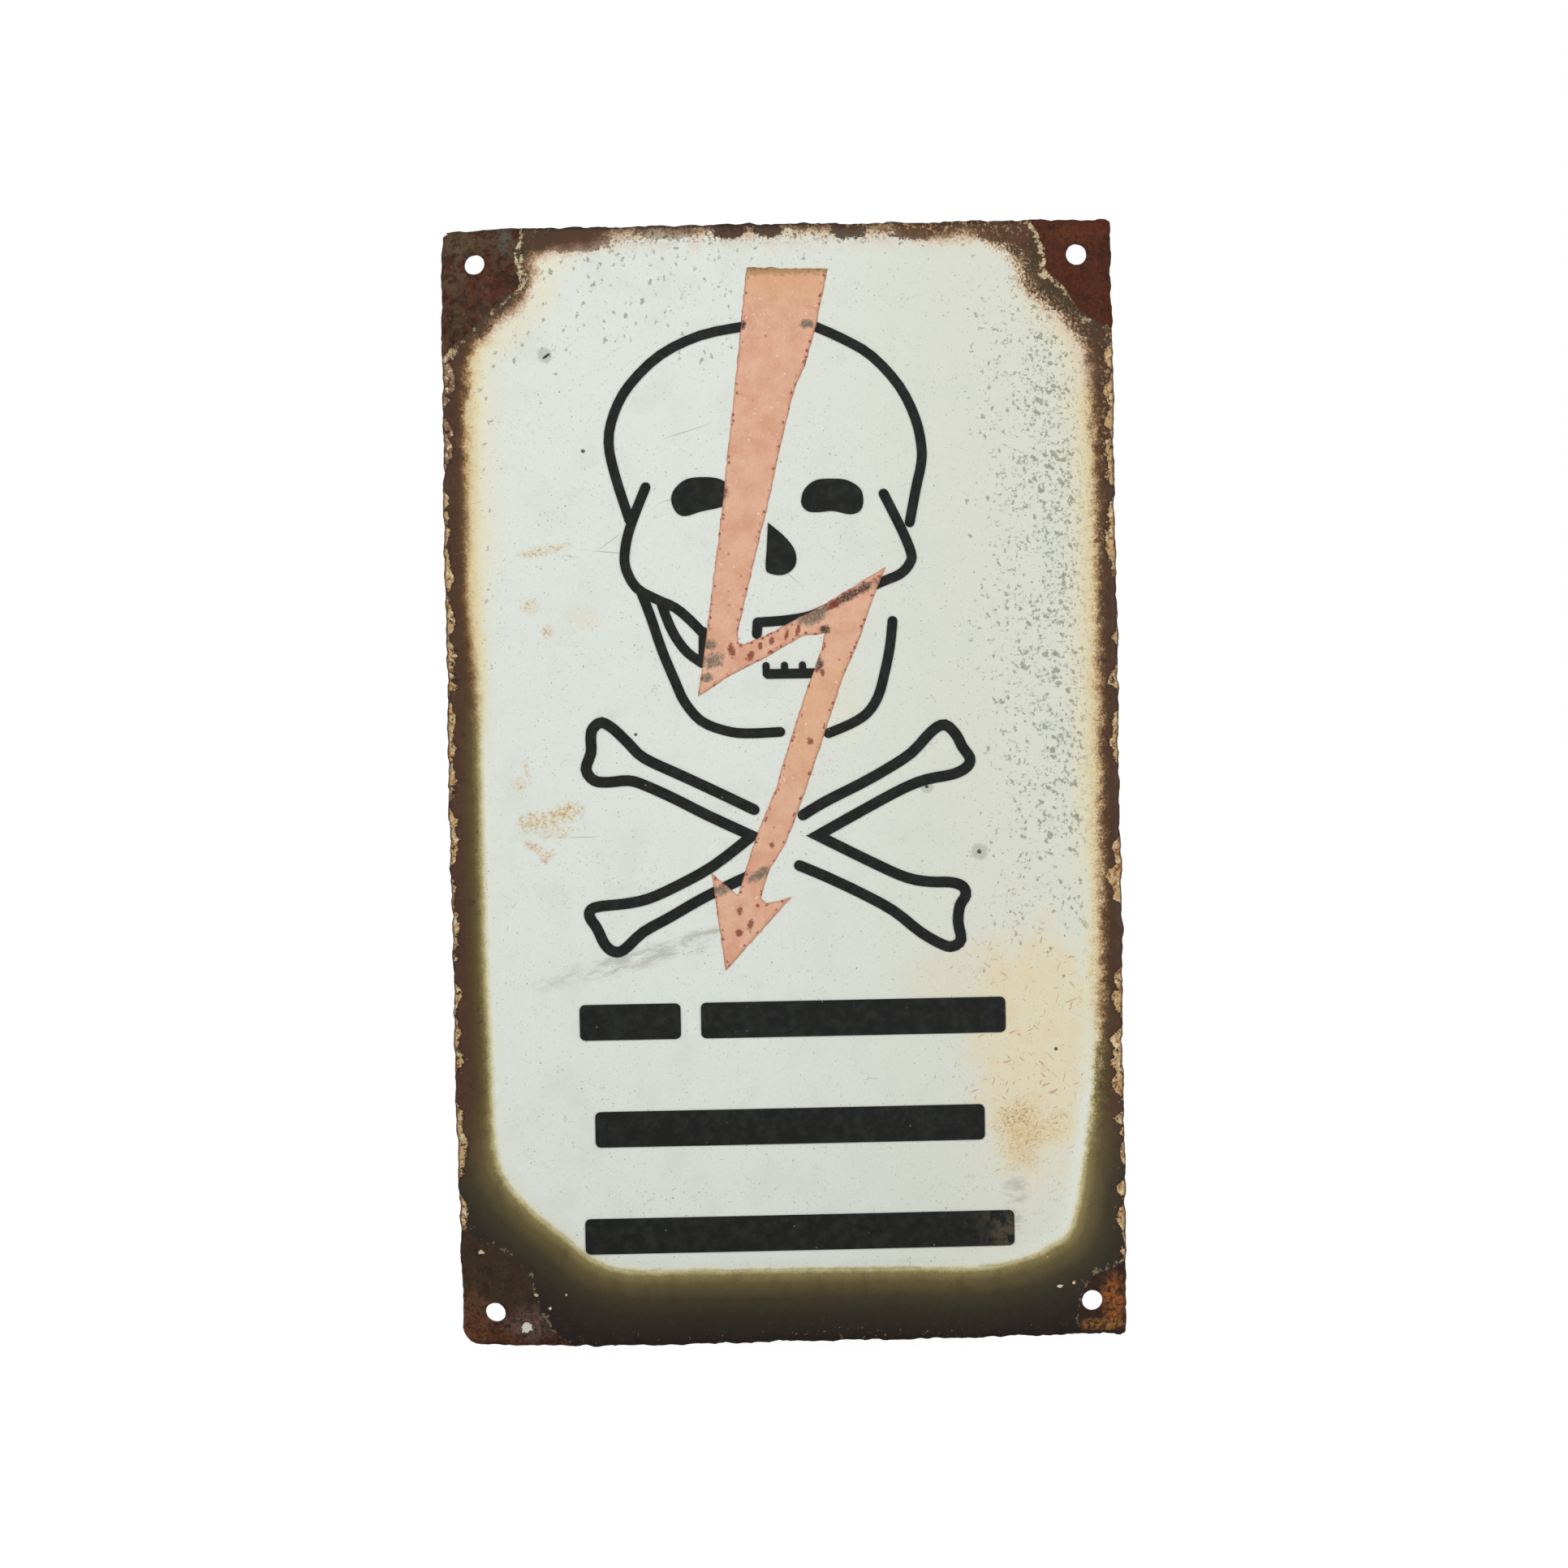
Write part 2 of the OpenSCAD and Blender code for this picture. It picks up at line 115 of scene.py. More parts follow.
# Chips along the side edges: side, lower end, upper end and depth in mm
CHIPS = [
    (-1, -2, 66, 1.8), (-1, -16, -3.5, 1.7), (-1, -38, -20, 1.5), (-1, -62, -43, 1.5),
    (-1, -86, -70, 1.7), (-1, -98, -90, 1.4), (-1, 72, 82, 1.9), (-1, 86, 106, 2.2),
    (1, 66, 112, 1.9), (1, 45.8, 62, 1.9), (1, 30.5, 36, 1.4), (1, 18, 26, 2.2),
    (1, 4.5, 15, 2.0), (1, -27, -13.5, 3.4), (1, -53, -43, 2.1), (1, -71, -56.5, 2.2),
    (1, -86, -75, 2.0), (1, -112, -90, 1.8),
]


def curve(points, steps=4):
    """A closed Catmull-Rom curve through the points."""
    p = np.array(points, float)
    n = len(p)
    out = []
    for i in range(n):
        a, b, c, d = p[i - 1], p[i], p[(i + 1) % n], p[(i + 2) % n]
        for t in np.arange(steps) / steps:
            out.append((2 * b + (c - a) * t + (2 * a - 5 * b + 4 * c - d) * t * t
                        + (3 * b - a - 3 * c + d) * t ** 3) / 2)
    return np.array(out)


def white_outline():
    points = []
    for way_x, way_z, margin, bites in BITES:
        points += [(way_x * (HALF_W - SIDE_MARGIN - a), way_z * (HALF_H - margin - b))
                   for a, b in bites]
    return curve(points)


def side_loss(side, s):
    """Depth that rust has taken from a side, mm along it from its start."""
    phase = 75 * side
    waves = EDGE_BITE * (0.5 + 0.2 * math.sin(math.radians(360 * s / 61 + phase))
                         + 0.18 * math.sin(math.radians(360 * s / 17 + 2 * phase))
                         + 0.12 * math.sin(math.radians(360 * s / 6.5 + 3 * phase)))
    if side == 3:
        waves += LEFT_BOW * (2 * s / SHEET_H - 1) ** 2
    if side == 2:
        waves += DIP_DEPTH * max(0, 1 - (SHEET_W - s) / DIP_RUN) ** 2
    return waves


def sheet_outline(step):
    """The rusted edge of the sheet, counter-clockwise from the lower left corner."""
    starts = [(-HALF_W, -HALF_H), (HALF_W, -HALF_H), (HALF_W, HALF_H), (-HALF_W, HALF_H)]
    points = []
    for side in range(4):
        way = np.array([round(math.cos(math.pi / 2 * side)), round(math.sin(math.pi / 2 * side))])
        left = np.array([-way[1], way[0]])
        length = (SHEET_W, SHEET_H)[side % 2]
        r = LOST_CORNER_R if side == 0 else CORNER_R
        after = LOST_CORNER_R if side == 3 else CORNER_R
        middle = np.array(starts[side]) + (r + side_loss(side, r)) * (way + left)
        for k in range(6):
            a = math.pi / 2 * side + math.pi + math.pi / 2 * k / 5
            points.append(middle + r * np.array([math.cos(a), math.sin(a)]))
        for s in np.arange(r + step / 2, length - after - step / 3, step):
            points.append(np.array(starts[side]) + way * s + left * side_loss(side, s))
    return np.array(points)


def roughen(points, amount, size, seed):
    """Moves the points of an outline in and out by noise."""
    ahead, behind = np.roll(points, -1, 0), np.roll(points, 1, 0)
    along = ahead - behind
    inward = np.stack([-along[:, 1], along[:, 0]], 1) / np.linalg.norm(along, axis=1)[:, None]
    shift = np.array([amount * (noise.fractal(Vector((x / size, z / size, seed)), 0.7, 2.1, 4))
                      for x, z in points])
    return points + inward * shift[:, None]


def edge_distance(points, outline):
    """Distance from each point to a closed outline."""
    best = np.full(len(points), 1e9)
    for a, b in zip(outline, np.roll(outline, -1, 0)):
        ab = b - a
        t = np.clip(((points - a) @ ab) / max(ab @ ab, 1e-12), 0, 1)
        best = np.minimum(best, np.hypot(*(points - a - t[:, None] * ab).T))
    return best


def inside(points, outline):
    odd = np.zeros(len(points), bool)
    x, z = points.T
    for (ax, az), (bx, bz) in zip(outline, np.roll(outline, -1, 0)):
        if az == bz:
            continue
        crosses = ((az > z) != (bz > z)) & (x < (bx - ax) * (z - az) / (bz - az) + ax)
        odd ^= crosses
    return odd


def signed_distance(points, outline):
    """Distance to a closed outline, above zero inside it."""
    d = edge_distance(points, outline)
    return np.where(inside(points, outline), d, -d)


def crown_y(points, height):
    """Depth of the crowned sheet's surface at this height above its back."""
    r2 = (points ** 2).sum(1)
    return -(np.sqrt((CROWN_R + height) ** 2 - r2) - CROWN_DEPTH)


def bent(xyz):
    """Bends the two left corners back, as in the CAD model."""
    out = xyz.copy()
    for way in (1, -1):
        fold = np.array([-HALF_W, way * HALF_H]) + FOLD_REACH / math.sqrt(2) * np.array([1, -way])
        over = (xyz[:, [0, 2]] - fold) @ (np.array([-1, way]) / math.sqrt(2))
        front = math.sqrt((CROWN_R + SHEET_T) ** 2 - fold @ fold) - CROWN_DEPTH
        pivot = np.array([fold[0], -(front + FOLD_LAP), fold[1]])
        u = np.array([-1, 0, way]) / math.sqrt(2)
        turn = np.clip(over / 1.2 + 0.5, 0, 1) * BEND
        rel = xyz - pivot
        a, b = rel @ u, rel[:, 1]
        moved = (rel + np.outer(a * np.cos(turn) - b * np.sin(turn) - a, u))
        moved[:, 1] = a * np.sin(turn) + b * np.cos(turn)
        out = np.where((over > -0.6)[:, None], pivot + moved, out)
    return out


def rust_distance(points):
    """Distance to the nearest rust region's edge, above zero inside one."""
    return np.max([signed_distance(points, curve(r, steps=3)) for r in RUST], axis=0)


def chip_depth(points, edge):
    """How far a point lies inside the chips along the side edges."""
    x, z = points.T
    bits = np.array([noise.fractal(Vector((b / 4.6, a / 9, 4.2 + 3 * (a > 0))), 0.6, 2.3, 4)
                     for a, b in points])
    best = np.full(len(points), -3.0)
    for way, low, high, depth in CHIPS:
        ends = np.clip(np.minimum(z - low, high - z) / 2.5, -1, 1)
        deep = depth * np.minimum(1, 0.5 + ends) * np.clip(0.74 + 1.05 * bits, -0.2, 1.2)
        best = np.maximum(best, np.where(np.sign(x) == way, deep - edge, -3.0))
    return np.clip(best, -3, 3)


def smooth(edge0, edge1, v):
    t = np.clip((v - edge0) / (edge1 - edge0), 0, 1)
    return t * t * (3 - 2 * t)


def triangulate(outline, holes, spacing):
    """Triangles of a flat shape with holes. spacing(points) gives the wanted distance of points."""
    loops = [outline] + holes
    edges, start = [], 0
    for loop in loops:
        n = len(loop)
        edges += [(start + k, start + (k + 1) % n) for k in range(n)]
        start += n
    (x0, z0), (x1, z1) = outline.min(0), outline.max(0)
    xs = np.arange(x0, x1, FINEST)
    zs = np.arange(z0, z1, FINEST * math.sqrt(3) / 2)
    grid = np.array([(x + FINEST / 2 * (j % 2), z) for j, z in enumerate(zs) for x in xs])
    jitter = np.random.default_rng(7).uniform(-0.16, 0.16, grid.shape) * FINEST
    keep = inside(grid, outline) & (edge_distance(grid, outline) > 0.5)
    for hole in holes:
        keep &= ~inside(grid, hole) & (edge_distance(grid, hole) > 0.5)
    every = np.maximum(1, np.round(spacing(grid) / FINEST)).astype(int)
    i = np.arange(len(grid)) % len(xs)
    j = np.arange(len(grid)) // len(xs)
    keep &= (i % every == 0) & (j % every == 0)
    inner = (grid + jitter)[keep]
    points = np.concatenate(loops + [inner])
    verts, _, faces, *_ = delaunay_2d_cdt([Vector(p) for p in points], edges, [], 0, 1e-5)
    flat = np.array([v[:] for v in verts])
    tri = np.array([f for f in faces if len(f) == 3])
    middle = flat[tri].mean(1)
    good = inside(middle, outline)
    for hole in holes:
        good &= ~inside(middle, hole)
    tri = tri[good]
    a, b, c = flat[tri[:, 0]], flat[tri[:, 1]], flat[tri[:, 2]]
    area = (b[:, 0] - a[:, 0]) * (c[:, 1] - a[:, 1]) - (b[:, 1] - a[:, 1]) * (c[:, 0] - a[:, 0])
    tri[area < 0] = tri[area < 0][:, ::-1]
    return flat, tri[np.abs(area) > 1e-7]


def add_object(name, data):
    obj = bpy.data.objects.new(name, data)
    bpy.context.scene.collection.objects.link(obj)
    return obj


def closed_plate(name, flat, tri, front, back, attributes):
    """Closed solid between a front and a back surface over the same flat triangles."""
    n = len(flat)
    verts = np.concatenate([front, back]) * MM
    ways = dict.fromkeys((t[k], t[(k + 1) % 3]) for t in tri for k in range(3))
    rim = [(a, b) for a, b in ways if (b, a) not in ways]
    faces = [tuple(t) for t in tri] + [tuple(t[::-1] + n) for t in tri]
    faces += [(a, a + n, b + n, b) for a, b in rim]
    mesh = bpy.data.meshes.new(name)
    mesh.from_pydata(verts.tolist(), [], [tuple(int(v) for v in f) for f in faces])
    for key, values in attributes.items():
        layer = mesh.attributes.new(key, "FLOAT", "POINT")
        layer.data.foreach_set("value", np.concatenate([values, values]).astype(np.float32))
    side = np.concatenate([np.ones(n), np.zeros(n)]).astype(np.float32)
    mesh.attributes.new("front", "FLOAT", "POINT").data.foreach_set("value", side)
    mesh.polygons.foreach_set("use_smooth", [k < 2 * len(tri) for k in range(len(faces))])
    mesh.update()
    return add_object(name, mesh)


def field(points, size, seed, octaves=4):
    """Fractal noise between about -1 and 1 at flat points, features of this size in mm."""
    return np.array([noise.fractal(Vector((x / size, z / size, seed)), 0.8, 2.1, octaves)
                     for x, z in points])


WHITE_EDGE = white_outline()
SHEET_EDGE = roughen(sheet_outline(0.8), 0.28, 2.4, 3.1)


def surface_masks(points):
    edge = edge_distance(points, SHEET_EDGE)
    rust = rust_distance(points)
    return {
        "fade": np.clip(signed_distance(points, WHITE_EDGE), -30, 30),
        "edge": np.clip(edge, 0, 30),
        "rust": np.clip(rust, -12, 12),
        "chip": chip_depth(points, edge),
    }


def circle(x, z, r, n=40, wobble=0.0, seed=0.0):
    ring = []
    for k in range(n):
        a = 2 * math.pi * k / n
        d = r + wobble * noise.fractal(Vector((x + 2 * math.cos(a), z + 2 * math.sin(a), seed)),
                                       0.8, 2.0, 3)
        ring.append((x + d * math.cos(a), z + d * math.sin(a)))
    return np.array(ring)


def build_sheet():
    """The steel sheet with its fired ground coat: granular rust, chipped edges, bent corners."""
    holes = [circle(x, z, HOLE_R, wobble=0.07, seed=5) for x, z in HOLES]

    def spacing(p):
        deep = signed_distance(p, WHITE_EDGE)
        return np.where(deep > 4, 3.6, FINEST)

    flat, tri = triangulate(SHEET_EDGE, holes, spacing)
    masks = surface_masks(flat)
    rust, edge, chip, fade = (masks[k] for k in ("rust", "edge", "chip", "fade"))
    ragged = rust + 0.9 * field(flat, 3.0, 1.7)
    bare = smooth(-0.25, 0.35, ragged)
    grain = 0.10 * field(flat, 1.3, 9.2) + 0.07 * field(flat, 4.5, 4.4)
    lost = smooth(-0.1, 0.5, chip + 0.5 * field(flat, 2.0, 6.1))
    shown = 1 - smooth(0.5, 2.5, fade)
    relief = shown * (bare * (-0.13 + grain) + lost * (-0.10 + 0.4 * grain) * (1 - bare)
                      + (1 - bare) * 0.012 * field(flat, 2.2, 2.2))
    lip = 0.05 * np.exp(-((ragged + 0.35) / 0.4) ** 2) * shown
    rounding = -0.28 * np.clip(1 - edge / 0.7, 0, 1) ** 2
    front = np.stack([flat[:, 0], crown_y(flat, SHEET_T) - relief - lip - rounding, flat[:, 1]], 1)
    back_relief = (0.05 * smooth(-2, 1, rust) * field(flat, 1.6, 7.7)
                   + 0.22 * np.clip(1 - edge / 0.7, 0, 1) ** 2)
    back = np.stack([flat[:, 0], crown_y(flat, 0) - back_relief, flat[:, 1]], 1)
    obj = closed_plate("worn_sheet", flat, tri, bent(front), bent(back), masks)
    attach(obj, "root")
    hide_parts("steel_sheet")
    return obj


def build_white():
    """The white coat, thinned out to nothing at its edge."""
    outline = roughen(curve(WHITE_EDGE, steps=2), 0.25, 2.0, 8.8)

    def spacing(p):
        return np.where(signed_distance(p, WHITE_EDGE) > 7, 2.7, FINEST)

    flat, tri = triangulate(outline, [], spacing)
    masks = surface_masks(flat)
    d = edge_distance(flat, outline)
    thick = (WHITE_T + RIM_SINK) * smooth(0, 3.0, d) - RIM_SINK
    wavy = 0.015 * field(flat, 14.0, 3.3) * smooth(1, 5, d)
    front = np.stack([flat[:, 0], crown_y(flat, SHEET_T) - thick - wavy, flat[:, 1]], 1)
    back = np.stack([flat[:, 0], crown_y(flat, SHEET_T) + 0.06, flat[:, 1]], 1)
    obj = closed_plate("white_coat", flat, tri, front, back, masks)
    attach(obj, "root")
    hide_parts("white_enamel")
    return obj


def build_arrow():
    """The lightning arrow's coat, with soft, slightly wavy edges."""
    outline = []
    for a, b in zip(ARROW, ARROW[1:] + ARROW[:1]):
        count = max(1, round(math.dist(a, b) / 0.8))
        outline += [np.array(a) + (np.array(b) - a) * k / count for k in range(count)]
    outline = roughen(np.array(outline), 0.16, 1.6, 12.4)
    top = outline[:, 1] > 113.6
    outline[top, 1] += 0.35 * field(outline[top], 1.1, 6.6)
    flat, tri = triangulate(outline, [], lambda p: np.full(len(p), FINEST))
    d = edge_distance(flat, outline)
    thick = WHITE_T + COLOUR_T - 0.12 * np.clip(1 - d / 0.45, 0, 1) ** 2
    thick += 0.010 * field(flat, 2.6, 5.5)
    front = np.stack([flat[:, 0], crown_y(flat, SHEET_T + thick), flat[:, 1]], 1)
    back = np.stack([flat[:, 0], crown_y(flat, SHEET_T + WHITE_T - 0.05), flat[:, 1]], 1)
    obj = closed_plate("worn_arrow", flat, tri, front, back, {"edge": np.clip(d, 0, 30)})
    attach(obj, "root")
    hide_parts("red_arrow")
    return obj


class Wires:
    """Short ways to wire the nodes of a tree.

    A node is made after those that feed it, because Cycles takes them in the order in which they
    were made, and a material as long as the enamel runs out of room in another order.
    """

    def __init__(self, tree):
        self.nodes, self.links = tree.nodes, tree.links

    def node(self, kind, **settings):
        n = self.nodes.new("ShaderNode" + kind)
        for key, value in settings.items():
            setattr(n, key, value)
        return n

    def put(self, socket, value):
        if isinstance(value, bpy.types.NodeSocket):
            self.links.new(value, socket)
        elif isinstance(value, (tuple, list)) and len(value) == 3 and socket.type == "RGBA":
            socket.default_value = (*value, 1)
        else:
            socket.default_value = value

    def math(self, operation, a, b=0.0):
        n = self.node("Math", operation=operation)
        for socket, value in zip(n.inputs, (a, b)):
            self.put(socket, value)
        return n.outputs[0]

    def add(self, a, b):
        return self.math("ADD", a, b)

    def sub(self, a, b):
        return self.math("SUBTRACT", a, b)

    def mul(self, a, *more):
        for b in more:
            a = self.math("MULTIPLY", a, b)
        return a

    def most(self, a, b):
        return self.math("MAXIMUM", a, b)

    def least(self, a, b):
        return self.math("MINIMUM", a, b)

    def step(self, value, low, high, out_low=0.0, out_high=1.0, kind="SMOOTHSTEP"):
        """Smooth step of value from low to high."""
        n = self.node("MapRange", interpolation_type=kind)
        for key, v in zip(("Value", "From Min", "From Max", "To Min", "To Max"),
                          (value, low, high, out_low, out_high)):
            self.put(n.inputs[key], v)
        return n.outputs["Result"]

    def mix(self, factor, a, b):
        n = self.node("Mix", data_type="RGBA")
        self.put(n.inputs["Factor"], factor)
        self.put(n.inputs[6], a)
        self.put(n.inputs[7], b)
        return n.outputs[2]


class Shade(Wires):
    """A material and its wiring. Lengths are in mm."""

    def __init__(self, name):
        self.mat = bpy.data.materials.new(name)
        self.mat.use_nodes = True
        super().__init__(self.mat.node_tree)
        self.bsdf = self.nodes["Principled BSDF"]
        coords = self.node("TexCoord").outputs["Object"]
        scale = self.node("VectorMath", operation="SCALE")
        self.put(scale.inputs[0], coords)
        self.put(scale.inputs["Scale"], 1 / MM)
        self.at = scale.outputs[0]
        split = self.node("SeparateXYZ")
        self.put(split.inputs[0], self.at)
        self.x, self.z = split.outputs[0], split.outputs[2]

    def over(self, colour, mask, strength, tone):
        """The colour with this much of the tone laid over it where the mask is 1."""
        return self.mix(self.mul(mask, strength), colour, tone)

    def shift(self, offset, stretch=(1, 1, 1), turn=0.0):
        """Coordinates turned about the Y axis, then stretched and moved."""
        turned, placed = self.node("Mapping"), self.node("Mapping")
        self.links.new(self.at, turned.inputs["Vector"])
        turned.inputs["Rotation"].default_value = (0, turn, 0)
        self.links.new(turned.outputs[0], placed.inputs["Vector"])
        placed.inputs["Location"].default_value = offset
        placed.inputs["Scale"].default_value = stretch
        return placed.outputs[0]

    def texture(self, kind, size, where, **settings):
        """A texture over the object's coordinates, over these moved by an offset, or over others."""
        at = self.shift(where) if isinstance(where, tuple) else where or self.at
        n = self.node(kind, **settings)
        self.put(n.inputs["Vector"], at)
        self.put(n.inputs["Scale"], 1 / size)
        return n

    def noise(self, size, detail=3.0, rough=0.55, where=None, warp=0.0):
        """Noise with features of this size in mm."""
        n = self.texture("TexNoise", size, where)
        n.inputs["Detail"].default_value = detail
        n.inputs["Roughness"].default_value = rough
        n.inputs["Distortion"].default_value = warp
        return n.outputs["Fac"]

    def swing(self, reach, *noise):
        """Noise about zero, reach from its lowest to its highest."""
        return self.mul(self.sub(self.noise(*noise), 0.5), reach)

    def patches(self, size, detail, rough, low, high, where=None):
        """1 where the noise is above high, 0 where it is below low."""
        return self.step(self.noise(size, detail, rough, where), low, high)

    def attribute(self, name):
        return self.node("Attribute", attribute_name=name).outputs["Fac"]

    def ramp(self, value, stops):
        """Colour from value in mm, through stops of (mm, colour)."""
        low, high = stops[0][0], stops[-1][0]
        share = self.step(value, low, high, kind="LINEAR")
        n = self.node("ValToRGB")
        self.put(n.inputs[0], share)
        ramp = n.color_ramp
        while len(ramp.elements) < len(stops):
            ramp.elements.new(0.5)
        for element, (at, colour) in zip(ramp.elements, stops):
            element.position = (at - low) / (high - low)
            element.color = (*colour, 1)
        return n.outputs["Color"]

    def blob(self, x, z, rx, rz, soft=0.6, turn=0.0, ragged=0.0, size=2.0):
        """1 inside an ellipse, fading out over the share soft of it, its edge moved by noise."""
        c, s = math.cos(turn), math.sin(turn)
        dx, dz = self.sub(self.x, x), self.sub(self.z, z)
        u = self.mul(self.add(self.mul(dx, c), self.mul(dz, s)), 1 / rx)
        v = self.mul(self.sub(self.mul(dz, c), self.mul(dx, s)), 1 / rz)
        r = self.math("SQRT", self.add(self.mul(u, u), self.mul(v, v)))
        if ragged:
            r = self.add(r, self.mul(self.sub(self.noise(size, 4, 0.65), 0.5), ragged))
        return self.step(r, 1 + soft / 2, 1 - soft / 2)

    def spots(self, size, radius, share=1.0, where=None, ragged=0.0):
        """Small dots, one to a cell of this size, in this share of the cells."""
        n = self.texture("TexVoronoi", size, where, feature="F1")
        near = self.mul(n.outputs["Distance"], size)
        if ragged:
            near = self.add(near, self.mul(self.sub(self.noise(radius * 1.6, 3, 0.6), 0.5), ragged))
        pick = self.node("SeparateColor")
        self.links.new(n.outputs["Color"], pick.inputs[0])
        dots = self.step(near, radius, radius * 0.75)
        return self.mul(dots, self.math("LESS_THAN", pick.outputs[0], share))

    def bump(self, height, distance, strength=1.0):
        n = self.node("Bump")
        n.inputs["Strength"].default_value = strength
        n.inputs["Distance"].default_value = distance * MM
        self.put(n.inputs["Height"], height)
        return n.outputs[0]

    def finish(self, colour, rough, normal, level=0.5):
        self.put(self.bsdf.inputs["Base Color"], colour)
        self.put(self.bsdf.inputs["Roughness"], rough)
        self.put(self.bsdf.inputs["Normal"], normal)
        self.bsdf.inputs["Specular IOR Level"].default_value = level
        return self.mat


def srgb(r, g, b):
    """Linear colour of an sRGB one from 0 to 255."""
    return tuple((v / 255 / 12.92) if v / 255 <= 0.04045 else ((v / 255 + 0.055) / 1.055) ** 2.4
                 for v in (r, g, b))


# Tones of the enamel and the rust
FIELD_LEFT, FIELD_RIGHT = srgb(221, 226, 219), srgb(216, 218, 205)
OCHRE, PINKISH = srgb(180, 144, 84), srgb(186, 126, 104)
FLECK, DIRT = srgb(134, 138, 122), srgb(122, 110, 92)
BLACK, BLACK_WORN = srgb(20, 22, 20), srgb(80, 80, 74)
SALMON, SALMON_DEEP, SALMON_PALE = srgb(222, 176, 148), srgb(212, 158, 130), srgb(230, 206, 184)
RED_SPOT, TAN_CHIP, CREAM = srgb(126, 50, 38), srgb(180, 144, 100), srgb(216, 200, 164)
RUST_DARK, RUST_RED, RUST_GREY = srgb(38, 28, 22), srgb(92, 48, 33), srgb(100, 85, 68)
RUST_ORANGE = srgb(166, 98, 46)
PIT = srgb(32, 24, 19)

# Colours across the sprayed edge of the white, from the border to the field
FADE_BROWN = [
    (-6.0, srgb(74, 52, 40)), (-2.4, srgb(74, 54, 40)), (-1.1, srgb(98, 74, 54)),
    (-0.1, srgb(152, 120, 92)), (0.9, srgb(204, 182, 154)), (2.0, srgb(222, 212, 190)),
    (3.6, srgb(222, 225, 214)),
]
FADE_YELLOW = [
    (-6.0, srgb(74, 52, 40)), (-2.2, srgb(74, 52, 38)), (-1.0, srgb(92, 66, 42)),
    (-0.3, srgb(140, 108, 70)), (0.4, srgb(190, 162, 116)), (1.1, srgb(214, 197, 154)),
    (2.2, srgb(222, 211, 172)), (5.0, srgb(224, 221, 196)),
]
FADE_OLIVE = [
    (-6.0, srgb(76, 50, 40)), (-4.2, srgb(76, 52, 39)), (-2.6, srgb(78, 62, 40)),
    (-1.3, srgb(90, 78, 46)), (-0.3, srgb(120, 106, 66)), (0.4, srgb(168, 158, 112)),
    (1.0, srgb(208, 203, 168)), (1.8, srgb(221, 225, 214)),
]
FADE_BOTTOM = [
    (-15.0, srgb(38, 32, 29)), (-10.0, srgb(48, 43, 33)), (-6.2, srgb(64, 57, 39)),
    (-2.6, srgb(98, 87, 56)), (-0.7, srgb(134, 121, 78)), (0.2, srgb(190, 180, 134)),
    (0.9, srgb(220, 218, 194)), (1.5, srgb(221, 224, 212)),
]


